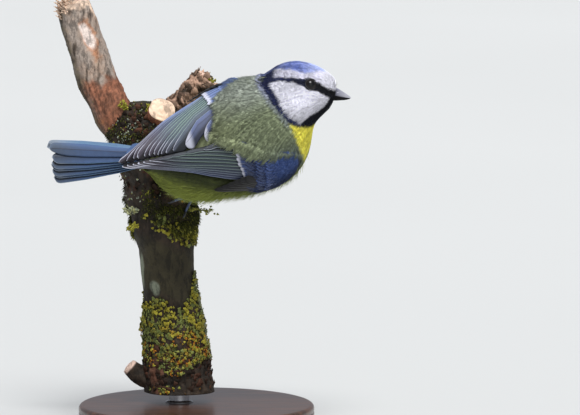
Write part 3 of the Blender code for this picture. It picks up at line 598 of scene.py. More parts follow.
def plumage(points):
    """Colour of the bird at any point: bands of the head by its side view, the back
    by angle round the body, and both pulled about by a little noise."""
    ragged = rough(points, 1.5, 3) * 0.35
    body = to_body(points)
    along = body[:, 0]
    turned = np.degrees(roll_of(body))
    around = np.abs(turned)
    patch = rough(points, 9.0, 8)
    tint = mixed(MANTLE, MANTLE_WARM, smooth(0.5 - (along + 8) / 24 + patch * 0.5))
    # The side turned up is paled as painted sky light, the lower sides forward darkened as painted shade.
    upper = smooth(-body[:, 1] / 16 + 0.1 + patch * 0.3)
    tint = mixed(tint, MANTLE_SKYLIT, 0.75 * upper)
    dark = smooth((around - 28) / 26) * smooth((along + 4) / 12)
    tint = mixed(tint, MANTLE_SHADED, 0.8 * dark * (1 - upper))
    tint = mixed(tint, RUMP, smooth((-20 - along) / 6))
    spread = around + ragged * 6
    hem = looked_up(along, WING_HEM)
    under = smooth((spread - hem + 6) / 10)
    # Just under the wing's hem the flank is painted near black as the wing's shadow, easing into the shaded
    # flank and then the belly.
    below = mixed(FLANK_SHADED * 0.35, FLANK_SHADED, smooth((spread - hem) / 16))
    below = mixed(below, BELLY, smooth((spread - hem - 12) / 26))
    below = mixed(below, YELLOW * 0.8, 0.85 * smooth((around - np.where(turned > 0, 118, 88)) / 34))
    tint = mixed(tint, below, under)
    edge = looked_up(around, BREAST_EDGE)
    front = smooth((along + ragged * 1.5 - edge) / 1.4)
    shade = smooth((turned - 74) / 26) * smooth((132 - turned) / 22)
    tint = mixed(tint, mixed(YELLOW, BELLY, shade), front)
    head = to_head(points)
    side = head[:, [0, 2]] + ragged[:, None]
    hood = signed(side, HOOD)
    pale = 0.35 + 0.65 * smooth((head[:, 2] + 4) / 7)
    tint = mixed(tint, FRINGE, smooth(1.5 - hood / 1.5) * smooth((17 - along) / 3) * (around < 95) * pale)
    cheek = signed(side, CHEEK)
    over = side[:, 1] - looked_up(side[:, 0], STRIPE_TOP)
    hue = mixed(NAVY, BLACK, 0.9 * smooth((side[:, 0] + 1.5) / 3.5))
    hue = mixed(hue, BLACK, 0.75 * smooth(1 - np.abs(over + 1.2) / 1.8) * smooth((side[:, 0] + 10) / 6))
    shaded = WHITE * (0.55 + 0.45 * smooth((head[:, 2] + 9.5) / 7.5))[:, None]
    hue = mixed(hue, shaded, smooth(0.5 - cheek / 0.5))
    brow = smooth(0.5 + over / 0.5) * smooth((side[:, 0] + 12.6) / 0.8)
    hue = mixed(hue, mixed(BROW, WHITE, smooth((side[:, 0] - 4) / 3)), brow)
    half = looked_up(head[:, 0], CAP_EDGE)
    cap = smooth(0.5 + (half - np.abs(head[:, 1]) + ragged * 1.6) / 1.3) * (head[:, 2] > 3.5)
    # The cap is darker to the rear as painted shade, and paler to the front partly as painted light, partly
    # as the fade into the white forehead.
    blue = mixed(CAP_REAR, CAP, smooth((head[:, 0] + 14) / 7))
    blue = mixed(blue, CAP_FRONT, smooth((head[:, 0] + 4) / 8) * 0.9)
    blue = mixed(blue, CAP_REAR, smooth(rough(points, 2.2, 5) * 2.5 - 0.2) * 0.5)
    blue = mixed(blue, CAP_FRONT, 0.4 * streaks(points))
    hue = mixed(hue, blue, cap)
    return mixed(tint, hue, smooth(0.5 - hood / 0.7))


def head_share(points):
    """1 on the head, 0 on the body."""
    return smooth((18.0 - np.linalg.norm(points - HEAD_AT, axis=-1)) / 5.0)


BILL_ROOT = from_head((14.0, 0, 0.5))


def bill_size(head):
    """Distance from the bill's axis in sizes of its foot, an ellipse."""
    return np.hypot(head[:, 1] / 2.2, (head[:, 2] - 0.9) / 2.9)


def dip(points):
    """How far the face is drawn in round the foot of the bill: full within the bill's
    outline, nothing at twice its size."""
    head = to_head(points)
    return 1.5 * smooth((2.2 - bill_size(head)) / 1.2) * smooth((head[:, 0] - 7.5) / 3.0)


def fan_of(along, theta):
    """How far the lie turns from straight back: the right side's feathers run down
    towards the wing, more so lower on the side and near the shoulder."""
    return 0.5 * np.clip((theta + 0.5) / 0.7, -0.25, 1.2) * smooth((along + 26) / 24) * (np.abs(theta) < 1.9)


def streaks(points):
    """Light and dark streaks along the lie, from 0 to 1: noise of a place drawn out
    along it, whose other number, r theta + fan s, hardly changes along a feather; on
    the head the place is the way from the bill and the distance from it."""
    body = to_body(points)
    theta = roll_of(body)
    across = 17.0 * theta + fan_of(body[:, 0], theta) * body[:, 0]
    trunk_place = np.stack([body[:, 0] / 2.6, across / 0.27, 0 * across], -1) + np.array([40.3, 300.7, 7.4])
    rel = points - BILL_ROOT
    far = np.linalg.norm(rel, axis=-1)
    head_place = rel / far[:, None] * 34.0 + far[:, None] * np.array([0.1, 0.2, 0.4])
    place = np.where(head_share(points)[:, None] > 0.5, head_place, trunk_place)
    fine = noise(place, 1.0, 3) * 0.55 + noise(place, 2.1, 4) * 0.45
    return smooth((fine - 0.5) * 1.8 + 0.5)


def laid_flat(way, normal):
    """The way turned into the plane across the normal."""
    return unit(way - normal * (way * normal).sum(-1, keepdims=True))


def lie_of(points, normal):
    """Way the feathers lie: back along the body and towards the right wing, and
    straight away from the bill on the head."""
    body = to_body(points)
    theta = roll_of(body)
    round_way = np.cos(theta)[:, None] * BODY[1] - np.sin(theta)[:, None] * BODY[2]
    fan = fan_of(body[:, 0], theta)
    trail = -BODY[0] + fan[:, None] * round_way
    away = unit(points - BILL_ROOT)
    lie = unit(mixed(trail, away, head_share(points)))
    return laid_flat(lie, normal)


def scatter(count, grid, weight, rng):
    """Roots over a closed ring grid: cells drawn in proportion to area times weight,
    then a random place inside each; gives points and their place on the grid."""
    n, turn = grid.shape[:2]
    after = np.roll(grid, -1, axis=1)
    area = np.linalg.norm(np.cross(grid[1:] - grid[:-1], after[:-1] - grid[:-1]), axis=-1)
    mids = (grid[1:] + after[:-1]) / 2
    share = (area * weight(mids.reshape(-1, 3)).reshape(area.shape)).ravel()
    total = np.cumsum(share)
    cell = np.searchsorted(total, (np.arange(count) + rng.random(count)) / count * total[-1])
    cell = np.minimum(cell, len(share) - 1)
    i, j = cell // turn, cell % turn
    a, b = rng.random((2, count))
    low = mixed(grid[i, j], grid[i, (j + 1) % turn], b)
    high = mixed(grid[i + 1, j], grid[i + 1, (j + 1) % turn], b)
    return mixed(low, high, a), np.stack([(j + b) / turn, (i + a) / (n - 1)], 1)


PATCH = 0.0015
TUFT_STEPS = (0, 0.5, 1)


def strewn(verts, quads, tris, tint, vary, along, place, spot):
    """Many like pieces (count, corners, 3) as one shape, each piece's faces moved up by
    the corners before it and each a small patch at its place on the unwrap."""
    count, many = verts.shape[:2]
    first = (np.arange(count) * many)[:, None, None]
    return Shape(verts, quads + first, tris + first).paint(
        tint=np.repeat(tint, many, 0), vary=np.repeat(vary, many), along=np.tile(along, count),
        OFBake=np.clip(place[:, None] + spot * PATCH, 0, 1).reshape(-1, 2),
    ).outward()


def tufts(path, normal, width, tint, vary, place):
    """Closed slim vanes: rings of three corners (left, right, ridge) along each path
    (count, stations, 3) and one corner at the tip; each is a small patch of the unwrap."""
    stations = path.shape[1]
    along = unit(path[:, -1] - path[:, 0])
    across = unit(np.cross(normal, along))
    swell = np.interp(np.linspace(0, 1, stations), [0, 0.4, 0.75, 1], [0.7, 1.0, 0.7, 0.0])
    rings = []
    for k in range(stations - 1):
        half = (width * swell[k] / 2)[:, None]
        rings += [path[:, k] - across * half, path[:, k] + across * half, path[:, k] + normal * half * 0.6]
    verts = np.stack([*rings, path[:, -1]], 1)
    size = verts.shape[1]
    quads = []
    for k in range(stations - 2):
        quads += [(3 * k + a, 3 * k + b, 3 * k + 3 + b, 3 * k + 3 + a) for a, b in ((0, 1), (1, 2), (2, 0))]
    last = 3 * (stations - 2)
    end = size - 1
    tris = [(0, 2, 1), (last, last + 1, end), (last + 1, last + 2, end), (last + 2, last, end)]
    t = np.repeat(np.linspace(0, 1, stations), 3)[:size]
    spot = np.stack([np.tile([-1.0, 1.0, 0.0], stations)[:size], t * 2 - 1], 1)
    return strewn(verts, np.array(quads), np.array(tris), tint, vary, t, place, spot)


EYE_RADIUS = 2.5
EYE_DEPTH = 1.75


def eye_frame(side):
    """Middle of the eyeball and the way it looks."""
    start = from_head((2.4, 0, 3.0))
    way = unit(from_head((2.4, side * 8.2, 5.4)) - start)
    top = start + way * float(reach(start, way))
    out = slope(top[None])[0]
    return top - out * EYE_DEPTH, out


EYES = {"right": eye_frame(1), "left": eye_frame(-1)}


def bare_spots(points):
    """0 over the eyes and the foot of the bill, 1 elsewhere."""
    keep = np.ones(len(points))
    for centre, out in EYES.values():
        rel = points - centre
        flat = rel - out * (rel @ out)[:, None]
        keep *= smooth((np.linalg.norm(flat, axis=-1) - 2.25 + (rel @ out < 0) * 9) / 0.4)
    head = to_head(points)
    return keep * np.where(head[:, 0] > 9.5, smooth((bill_size(head) - 0.95) / 0.25), 1.0)


# Wings and tail

# Wing sheet: least radius over the rump, as along, radius
BRIDGE = [(-56, 7.0), (-48, 8.2), (-38, 11.2), (-28, 14.8), (-18, 17.6), (-8, 19.4), (2, 20.0), (24, 12)]
TIER = 0.85
STACK = 2.4
SHEET_SINK = 0.5
MIDLINE = 16.0

# Outer edges of the folded flight feathers in degrees from the back's midline
EDGE_AT = [-52, -48, -42, -36, -30, -24, -18, -12, -6]
LEFT_EDGES = [
    (3, -6, -24, -40, -53, -61, -66, -71, -76),
    (15, 6, -20, -37, -49.5, -57, -61.5, -69, -72.5),
    (24, 14, -13, -33, -45, -53, -57, -66, -69),
    (30, 22, 5, -17, -32.5, -44.5, -52.5, -62, -65),
    (36, 28, 15, -7, -27, -38, -47, -54, -58),
    (42, 34, 23, 7, -14, -29, -40.5, -48, -52),
    (48, 40, 30, 14, -7, -22.5, -35, -42.5, -46),
    (54, 46, 36, 22, 5, -15, -29.5, -37, -40),
    (60, 52, 42, 30, 14, -2, -21, -29, -32),
    (66, 58, 50, 40, 26, 12, -3, -17, -20),
]
RIGHT_EDGES = [
    (-27, -31, -35, -40.5, -45, -50, -57, -62.5, -66),
    (-16, -25, -32, -38, -42, -46.5, -52.5, -57, -61),
    (-10, -17, -27, -35, -40, -43.5, -47.5, -52, -56),
    (0, -8, -18, -25, -34.5, -39, -42, -45.5, -49),
    (10, 2, -8, -18, -25, -30.5, -35, -39.5, -44),
    (20, 12, 2, -10, -20, -25, -29, -34, -39),
    (30, 22, 12, 0, -12, -20, -23.5, -28, -33),
    (40, 32, 22, 10, -2, -12, -18.5, -22.5, -27),
]

# Flight feathers from the outermost in: place among the edge lines, tip along, how blue
# the base is, how green, width of the white tip in mm
LEFT_FLIGHT = [
    (0.0, -50.5, 0.9, 0.0, 0.3), (0.75, -47.4, 0.8, 0.0, 0.3), (1.5, -44.6, 0.7, 0.2, 0.4),
    (2.2, -43.2, 0.5, 0.4, 0.7), (2.9, -40.4, 0.4, 0.7, 0.5), (3.6, -38.6, 0.3, 0.9, 0.5),
    (4.3, -36.8, 0.3, 1.0, 0.5), (5.0, -35.5, 0.3, 1.0, 0.5), (5.7, -34.2, 0.2, 1.0, 0.5),
    (6.4, -32.4, 0.2, 0.8, 0.5), (7.1, -29.6, 0.2, 0.6, 0.4), (8.0, -24.6, 0.5, 0.1, 4.4),
    (9.0, -17.0, 0.5, 0.1, 2.8),
]
RIGHT_FLIGHT = [
    (0.0, -49.5, 0.5, 0.0, 0.3), (0.6, -47.6, 0.4, 0.1, 0.4), (1.2, -45.4, 0.4, 0.2, 0.4),
    (1.8, -43.6, 0.4, 0.4, 0.8), (2.4, -41.4, 0.3, 0.6, 0.5), (3.0, -39.0, 0.3, 0.8, 0.3),
    (3.7, -37.0, 0.3, 0.9, 0.1), (4.4, -34.4, 0.3, 0.9, 0.0), (5.2, -30.6, 0.2, 0.9, 0.0),
    (6.0, -25.4, 0.2, 0.7, 0.0), (7.0, -18.6, 0.2, 0.5, 0.2),
]

# Outline of the covert area: along, inner and outer edge in degrees
SLAB_OUTLINE = np.array([
    (-9, 13, 75), (-5, 18, 77), (0, 28, 87), (5, 36, 95), (10, 43, 96),
    (14, 48, 92), (17, 53, 85), (19, 60, 78), (20, 66, 73),
], float)
SLAB_TOP = 0.3
LEFT_SHORT = 0.66

VANE_GREY = srgb(76, 70, 82)
VANE_BLUE = srgb(90, 110, 160)
VANE_GREEN = srgb(82, 102, 104)
EDGE_PALE = srgb(136, 138, 154)
EDGE_GREEN = srgb(158, 188, 158)
EDGE_BLUE = srgb(150, 172, 216)
TIP_WHITE = srgb(214, 216, 232)
COVERT_BLUE = srgb(62, 84, 140)
COVERT_DEEP = srgb(28, 36, 60)
SHOULDER_BLUE = srgb(134, 156, 208)
ALULA = srgb(18, 18, 20)


def sheet(s, degrees, h):
    """Point of the wing sheet: a spoke from the body's axis, as long as the smooth
    maximum of body and bridge, less the sink, plus the height h over the vanes."""
    s, degrees, h = np.broadcast_arrays(np.asarray(s, float), np.asarray(degrees, float), h)
    angle = np.radians(degrees)
    spoke = np.sin(angle)[..., None] * BODY[1] + np.cos(angle)[..., None] * BODY[2]
    lift = np.where(s < -20, (-20 - s) ** 2 * 0.0045, 0.0)
    origin = from_body(np.stack([s, np.zeros_like(s), lift], -1))
    body = np.where(field(origin) < 0, reach(origin, spoke) + 0.35, 0.0)
    bridge = looked_up(s, BRIDGE)
    top = np.maximum(body, bridge)
    radius = top + 0.8 * np.log(np.exp((body - top) / 0.8) + np.exp((bridge - top) / 0.8))
    return origin + spoke * (radius - SHEET_SINK + h)[..., None]


def covert_line(s, share, trim=0.0):
    """Degrees of a place over the covert area: share 0 at its outer edge, 1 at its inner."""
    out, into = looked_up(s, SLAB_OUTLINE, 2) - trim, looked_up(s, SLAB_OUTLINE) + trim
    return out + (into - out) * share


class Wing:
    """Lines of one folded wing; degrees count up from the outer edge to the midline."""

    def __init__(self, side):
        self.side = side
        edges = np.array(LEFT_EDGES if side < 0 else RIGHT_EDGES, float)
        self.count = len(edges)
        self.edges = np.vstack([edges] + [edges[-1:] + 11 * (i + 1) for i in range(3)])
        self.limit = MIDLINE if side < 0 else -MIDLINE
        # Factor on vane tints and rims: the right wing is darkened as painted shade, the left only a little.
        self.painted_shade = 0.92 if side < 0 else 0.36

    def line(self, s, index):
        """Degrees of the edge line at each step along, for fractional line numbers."""
        rows = np.array([np.interp(s, EDGE_AT, edge) for edge in self.edges])
        low = np.clip(np.floor(index).astype(int), 0, len(rows) - 2)
        share = np.asarray(index, float) - low
        at = np.arange(len(np.atleast_1d(s)))
        return rows[low, at] * (1 - share) + rows[low + 1, at] * share

    def inner(self, s):
        """Innermost angle of the flight feathers: the midline, then the covert area."""
        rear = np.where(s < -14, self.limit, min(self.limit, 9.0))
        return rear + (-SLAB_OUTLINE[0, 1] - rear) * np.clip((s + 16) / 7.0, 0.0, 1.0)

    def forward(self, s):
        """The left wing's bend lies further back, because the head turns that way."""
        s = np.asarray(s, float)
        return np.where((s > 0) & (self.side < 0), LEFT_SHORT * s, s)

    def place(self, s, degrees, h):
        """Point of the sheet by this wing's own degrees."""
        return sheet(s, np.asarray(degrees, float) * (1 if self.side < 0 else -1), h)

    def cover(self, s, share, h):
        """Point over the covert area."""
        return self.place(self.forward(s), -covert_line(s, share), h)

    def under(self, points):
        """Degrees inside the band that the folded wing covers, below zero outside it."""
        body = to_body(points)
        along = np.where((body[:, 0] > 0) & (self.side < 0), body[:, 0] / LEFT_SHORT, body[:, 0])
        around = np.degrees(roll_of(body)) * self.side
        rear_in = -self.inner(along)
        rear_out = -np.interp(along, EDGE_AT, self.edges[0])
        front = along > -9
        inner = np.where(front, looked_up(along, SLAB_OUTLINE), rear_in)
        outer = np.where(front, looked_up(along, SLAB_OUTLINE, 2), rear_out)
        depth = np.minimum(around - inner, outer - around)
        return np.where((along < 20.5) & (along > -50), depth, -30.0)


WINGS = {"left": Wing(-1), "right": Wing(1)}


def vane(top, shaft, tint, rim, tips, tip_width, thick=0.14, ridge=0.10, seam=99.0):
    """Closed thin vane under a grid (along, across): the other face lies thick deeper,
    the shaft column stands a ridge proud. Each corner knows its distance in mm from the
    outer edge, the tip and the shaft, and how far in the next feather covers it."""
    n, m = top.shape[:2]
    normal = grid_normals(top)
    middle = (m - 1) / 2
    proud = ridge * bell((np.arange(m) - shaft) / 0.8) * np.linspace(1, 0.3, n)[:, None]
    depth = thick * (0.7 + 0.6 * bell((np.arange(m) - shaft) / (middle * 0.6)))
    rear = top - normal * depth[None, :, None]
    front = top + normal * proud[..., None]
    made = slab(front, rear)
    widths = np.linalg.norm(np.diff(top, axis=1), axis=-1)
    edge = np.concatenate([np.zeros((n, 1)), np.cumsum(widths, 1)], 1)
    lengths = np.linalg.norm(np.diff(top[:, shaft], axis=0), axis=-1)
    tip = np.concatenate([np.cumsum(lengths[::-1])[::-1], [0.0]])
    web = np.stack([edge, np.repeat(tip[:, None], m, 1), edge - edge[:, shaft:shaft + 1]], -1)

    def laid(colour):
        """A colour, or one per row, on every corner of both faces."""
        colour = np.asarray(colour, float)
        rows = colour if colour.ndim == 2 else np.repeat(colour[None], n, 0)
        return np.tile(np.repeat(rows, m, 0), (2, 1))

    ends = np.concatenate([laid(tips), np.full((2 * n * m, 1), tip_width)], 1)
    cover = np.broadcast_to(np.asarray(seam, float).reshape(-1, 1), (n, 1))
    return made.paint(
        web=np.tile(web.reshape(-1, 3), (2, 1)), tint=laid(tint), rim=laid(rim), tips=ends,
        seam=np.tile(np.repeat(cover, m, 0), (2, 1))[:, 0],
    )


def rounding(distance, length, power=2.4):
    """Half-width factor near a tip: (1 - x^p)^(1/2), x running over the last length."""
    x = np.clip(1 - distance / length, 0, 1)
    return np.maximum(np.sqrt(np.maximum(1 - x ** power, 0)), 0.06)


FLIGHT_ROWS = 44
FLIGHT_COLUMNS = 11


def flight_feather(wing, index, tip, blue, green, white, rng):
    """A flight feather: between its edge line and the line a stack further in, with a
    rounded end, laid deeper by a tier for every line inwards."""
    t = np.linspace(0, 1, FLIGHT_ROWS) ** 0.8
    start = -6.0 if wing.side < 0 else -3.0
    s = start + (tip - start) * t

    def line(number):
        """Degrees of that edge line at every row."""
        return wing.line(s, np.full(len(s), number))

    own = line(index)
    inner = np.minimum(line(min(index + STACK, wing.count + 1.9)), wing.inner(s))
    radius = looked_up(s, BRIDGE)
    inner = np.minimum(inner, own + np.degrees(7.0 / radius))
    outer = np.minimum(own, inner - 6.0)
    shaft = FLIGHT_COLUMNS // 3
    across = np.linspace(0, 1, FLIGHT_COLUMNS)
    centre = outer + (inner - outer) * 0.42
    degrees = outer[:, None] + (inner - outer)[:, None] * across
    grow = rounding(s - tip, 3.4)[:, None]
    degrees = centre[:, None] + (degrees - centre[:, None]) * grow
    span = line(index + 1.0) - own
    level = (degrees - own[:, None]) / np.maximum(span, 2.0)[:, None]
    sunk = smooth((s[:, None] + (10.5 if wing.side < 0 else 5.0)) / 3)
    h = -np.clip(level, -0.6, STACK) * TIER + 0.12 * np.sin(across * math.pi) - sunk
    top = wing.place(s[:, None], degrees, h)
    # The wing's shade factor darkens the right wing's vanes and rims as painted shade; tertials get a
    # lighter tone.
    shade = rng.uniform(0.9, 1.08) * wing.painted_shade * (1.25 if white > 2 else 1.0)
    seam = np.radians(span) * radius
    front = 1 - smooth((-s - 22) / 16)
    blue, green = blue * front, green * front
    tint = mixed(mixed(VANE_GREY, VANE_BLUE, blue), VANE_GREEN, green * 0.75) * shade
    rim = mixed(mixed(EDGE_PALE, EDGE_BLUE, blue), EDGE_GREEN, green * 0.8)
    pale = TIP_WHITE * (0.62 if white > 2 else 0.75)
    return vane(top, shaft, tint, rim * (0.45 + 0.6 * wing.painted_shade), pale, white, 0.16, 0.1, seam)


def covert_feather(wing, index, width, root, tip, rise, tint, rim, tips, white, rows=12, columns=7):
    """Short feather of the covert area: between two places across it, with a rounded
    end, rising from root to tip and arched across."""
    t = np.linspace(0, 1, rows)
    s = root + (tip - root) * t
    low, high = -covert_line(s, np.array([[index], [index + width]]) / (wing.count - 1), 1.0)
    centre = (low + high) / 2
    x = np.linspace(-1, 1, columns)
    grow = (0.75 + 0.25 * smooth(t / 0.4)) * rounding((1 - t), 0.4, 2.2)
    degrees = centre[:, None] + (high - low)[:, None] / 2 * grow[:, None] * x
    lift = SLAB_TOP + rise * t[:, None] - 0.16 * x - 0.12 * x ** 2
    top = wing.place(wing.forward(s)[:, None], degrees, lift)
    return vane(top, columns // 2, tint, rim, tips, white, 0.12, 0.05)


def wing_pad(wing):
    """Closed sheet under the coverts."""
    s = np.linspace(-9.5 if wing.side < 0 else -4.0, 20.0, 40)[:, None]
    share = np.linspace(0.0, 1.0, 26)
    edge = np.sqrt(np.clip(1 - np.abs(share * 2 - 1) ** 6, 0, 1))
    top = wing.cover(s, share, (SLAB_TOP + 1.2) * edge * smooth((20.0 - s) / 2.0) - 1.2)
    return slab(top, wing.cover(s, share, -1.6))


def hidden(wing, index, s):
    """Whether a covert at that place lies well under the mantle."""
    spot = wing.cover(s, index / (wing.count - 1), 0.0)
    return mantle_depth(np.atleast_2d(spot))[0] > 3.5


def wing_shapes(wing):
    """Flight feathers and coverts of one side."""
    rng = np.random.default_rng(5 if wing.side < 0 else 6)
    left = wing.side < 0
    flight = [flight_feather(wing, *row, rng) for row in (LEFT_FLIGHT if left else RIGHT_FLIGHT)]
    cover = []
    last = wing.count - 1
    great = 11
    bar = -11.4 if left else -6.8
    for i in range(great):
        index = i * last / great
        if hidden(wing, index + 0.5, -3.0):
            continue
        outermost = i / (great - 1)
        end = bar - (0.3 if left else 3.2 * outermost - 1.2) + rng.uniform(-0.3, 0.3)
        tint = mixed(COVERT_DEEP, COVERT_BLUE, 0.15 + 0.5 * (1 - outermost))
        # The left wing's coverts are paled with shoulder blue and bright tips as painted light; the right's
        # stay deep with dim tips as painted shade.
        tint = mixed(tint, SHOULDER_BLUE, 0.55 if left else 0.0)
        pale = TIP_WHITE * (0.95 if left else 0.5)
        white = 2.1 if left else 0.9 + 1.2 * outermost
        cover.append(covert_feather(
            wing, index, last / great * 1.5, -1.5, end, 0.55, tint, tint * 1.5, pale, white, 16))
    for row, (root, end, rise) in enumerate(((3.0, -5.0, 0.55), (6.5, -1.0, 0.5), (9.5, 2.6, 0.45))):
        many = (13, 14, 15)[row]
        for i in range(many):
            index = (i + 0.5 * (row % 2)) * last / many - 0.2
            if hidden(wing, index, end):
                continue
            bright = 0.3 + 0.3 * row + rng.uniform(-0.15, 0.15) - 0.35 * (1 - i / many)
            tint = mixed(COVERT_DEEP, COVERT_BLUE, np.clip(bright, 0, 1))
            # Paler on the left as painted light, deep blue on the right as painted shade.
            tint = mixed(tint, SHOULDER_BLUE, 0.6 if left else 0.05)
            jitter = rng.uniform(-0.4, 0.4)
            cover.append(covert_feather(wing, index, last / many * 1.5, root + jitter, end + jitter, rise,
                                        tint, tint * 1.1, tint * 1.2, 0.6))
    for i in range(6):
        cover.append(covert_feather(
            wing, -0.9 + 0.42 * i, 1.2, 5.5 - i, -17.0 + 2.3 * i, 0.6 + 0.18 * i,
            ALULA * 0.25, ALULA * 0.3, ALULA, 0.2, 18))
    return flight, cover


def shoulder_shape(wing):
    """Short soft feathers over the front of the folded wing: tufts that run back over
    the coverts, palest at the bend and darkest at the outer edge."""
    rng = np.random.default_rng(25 if wing.side < 0 else 26)
    count = 4200
    s = rng.uniform(-1.5, 20.5, count)
    share = rng.uniform(-0.04, 1.0, count)
    around = covert_line(s, share)
    size = rng.uniform(2.0, 3.2, count) * np.interp(s, [0, 20], [1.15, 0.8])
    drift = rng.normal(0, 3.5, count)
    high = rng.uniform(0.35, 0.75, count)
    over = smooth(-mantle_depth(wing.place(wing.forward(s), -around, SLAB_TOP)) / 6)
    high = high + 1.2 * (wing.side < 0) * smooth((s + 1) / 6) * smooth((11 - s) / 5) * over
    path = []
    for t in TUFT_STEPS:
        lift = SLAB_TOP + high * (0.5 + 0.5 * t) - 0.75 * (1 - t) ** 2.2 - 1.2 * smooth((s - 17) / 3.5)
        path.append(wing.place(wing.forward(s - size * t), -(around + drift * t), lift))
    spot = path[1]
    normal = unit(spot - from_body(np.stack([to_body(spot)[:, 0], 0 * s, 0 * s], 1)))
    keep = (mantle_depth(path[0]) < -0.5) & (mantle_depth(path[2]) < 4)
    bright = smooth((s - 2) / 10) * smooth((share - 0.12) / 0.5) + 0.3 * rough(spot, 1.6, 91)
    # The left shoulder is paled with shoulder blue as painted light.
    tint = mixed(mixed(COVERT_DEEP, COVERT_BLUE, np.clip(0.15 + bright, 0, 1)), SHOULDER_BLUE,
                 0.65 * (wing.side < 0) + 0.25 * np.clip(bright, 0, 1) * (rng.random(count) < 0.4))
    place = np.stack([np.mod(0.5 + np.radians(around) * wing.side / (2 * math.pi), 1), 0.3 + s / 60], 1)
    return tufts(np.stack(path, 1)[keep], normal[keep], rng.uniform(0.3, 0.6, count)[keep], tint[keep],
                 rng.random(count)[keep], place[keep])


# Tail: root in the body's frame, tip in the room's
TAIL_ROOT = (-36.3, -2.0, 3.5)
TAIL_TIP = (-54.4, -44.5, 108.7)
TAIL_TIER = 0.8
TAIL_HALF = 2.7
TAIL_AT = (0.0, 12.0, 42.0)
TAIL_BLUE = srgb(60, 86, 127)
TAIL_GREY = srgb(72, 84, 98)
TAIL_RIM = srgb(108, 140, 168)


def tail_place(d, v, h):
    """Grid of points d back from the tail's root, v to its right and h above it."""
    root = from_body(TAIL_ROOT)
    back = unit(np.array(TAIL_TIP) - root)
    right = unit(BODY[1] - back * np.dot(BODY[1], back))
    return root + d[:, None, None] * back + v[..., None] * right + h[..., None] * np.cross(right, -back)


def tail_shapes():
    """Six feathers a side: the left half stacked close, the right half fanned, each a
    tier deeper than the one inside it."""
    length = float(np.linalg.norm(np.array(TAIL_TIP) - from_body(TAIL_ROOT)))
    shapes = []
    for i in range(6):
        for side in (-1, 1):
            level = i * 0.98 if side < 0 else i + 1
            if side < 0:
                middle = (-0.5 - 0.4 * i, -0.9 - 0.6 * i, -4.1 - 0.45 * i)
            else:
                middle = (0.5 + 0.4 * i, 0.9 + 0.6 * i, (-0.65, 1.75, 2.15, 4.35, 4.75, 6.85)[i])
            tip = length + (0.9 - 0.3 * i if side < 0 else 0.1 - 0.35 * i) - (1.0, 0.5, 0.1, 0, 0, 0)[i]
            d = 2 + (tip - 2) * np.linspace(0, 1, 40) ** 0.85
            mid = np.interp(d, TAIL_AT, middle)
            inner = TAIL_HALF if i == 0 or side > 0 else 0.8
            grown = np.interp(d, [2, 12, 25], [0.4, 0.75, 1.0])
            x = np.linspace(0, 1, 11)
            across = side * (TAIL_HALF - (TAIL_HALF + inner) * x)
            blunt = (grown * rounding(tip - d, 3.2, 2.6))[:, None]
            slant = (grown * rounding(tip - d, 9.0, 2.0))[:, None]
            v = mid[:, None] + np.where(across * side > 0, blunt, slant) * across
            h = -TAIL_TIER * level + 0.10 * (1 - ((v - mid[:, None]) / TAIL_HALF) ** 2)
            top = tail_place(d, v, h)
            shaft = int(round(TAIL_HALF / (TAIL_HALF + inner) * 10))
            far = smooth((d - 24) / 16)
            seam = np.interp(d, TAIL_AT, (0.4, 0.6, 0.45 if side < 0 else 2.0)) if i else 99.0
            # The right half's feathers and rims are darkened as painted shade, and each deeper feather a
            # little more.
            tint = mixed(TAIL_BLUE, TAIL_GREY, 0.8 * far) * (1.0 if side < 0 else 0.72) * (1.0 - 0.03 * i)
            rim = mixed(TAIL_RIM, srgb(150, 160, 176), far) * (1.0 if side < 0 else 0.7)
            shapes.append(vane(top, shaft, tint, rim, srgb(140, 150, 162), 0.35, 0.16, 0.12, seam))
    return shapes


def tail_covers():
    """Soft coverts over and under the foot of the tail, in two short rows."""
    rng = np.random.default_rng(8)
    shapes = []
    for row, reach_to in ((0, 9.6), (1, 7.4), (2, 5.2)):
        for i in range(7):
            for h0, bend in ((0.28 + 0.2 * row, -1), (-6.3 - 0.3 * row, 1)):
                v0 = (i - 3) * 0.78 - 0.15 + rng.uniform(-0.15, 0.15)
                end = reach_to * (1 if bend < 0 else 1.15) - abs(i - 3) * 0.8
                d = np.linspace(0.5, end, 14)
                x = np.linspace(-1, 1, 7)
                wide = 1.3 * rounding(end - d, 3.0)[:, None] * x
                v = v0 * (1 + 0.02 * d[:, None]) + wide
                h = h0 + bend * (0.05 * (v / 2) ** 2 - 0.05 * (end - d)[:, None] * 0.6)
                top = tail_place(d, v, h)
                tint = mixed(TAIL_BLUE, RUMP, 0.25 * row) if bend < 0 else mixed(WHITE, BELLY, 0.45)
                shapes.append(vane(top, 3, tint, tint * 1.15, tint * 1.1, 0.5, 0.12, 0.03))
    return shapes


# Coat of small feathers

# Edge of the mantle's roots over each wing: mm forward, degrees from the back
MANTLE_OVER_WING = [
    (-14.4, 5.0), (-11.2, 14.0), (-6.2, 25.0), (-0.8, 36.5), (4.9, 45.5), (10.0, 46.5), (14.5, 47.0),
    (18, 52.0), (21, 58.0),
]
MANTLE_OVER_LEFT = [
    (-15.0, -9.0), (-11.4, -2.0), (-9.8, 14.0), (-8.6, 29.0), (-6.0, 39.0), (-2.8, 46.0), (0, 50.0),
    (4, 57.0), (8.4, 68.0), (14, 74.0),
]
MANTLE_END = -14.6


def mantle_depth(points):
    """Degrees by which a point lies inside the part of the back whose feathers hang
    over the wings."""
    body = to_body(points)
    around = np.degrees(roll_of(body))
    depth = np.full(len(points), 90.0)
    for side, rows in ((1, MANTLE_OVER_WING), (-1, MANTLE_OVER_LEFT)):
        edge = looked_up(body[:, 0], rows)
        depth = np.minimum(depth, edge - around * side + 2.5 * rough(points, 1.6, 90))
    return np.where(body[:, 0] > MANTLE_END, depth, -30)


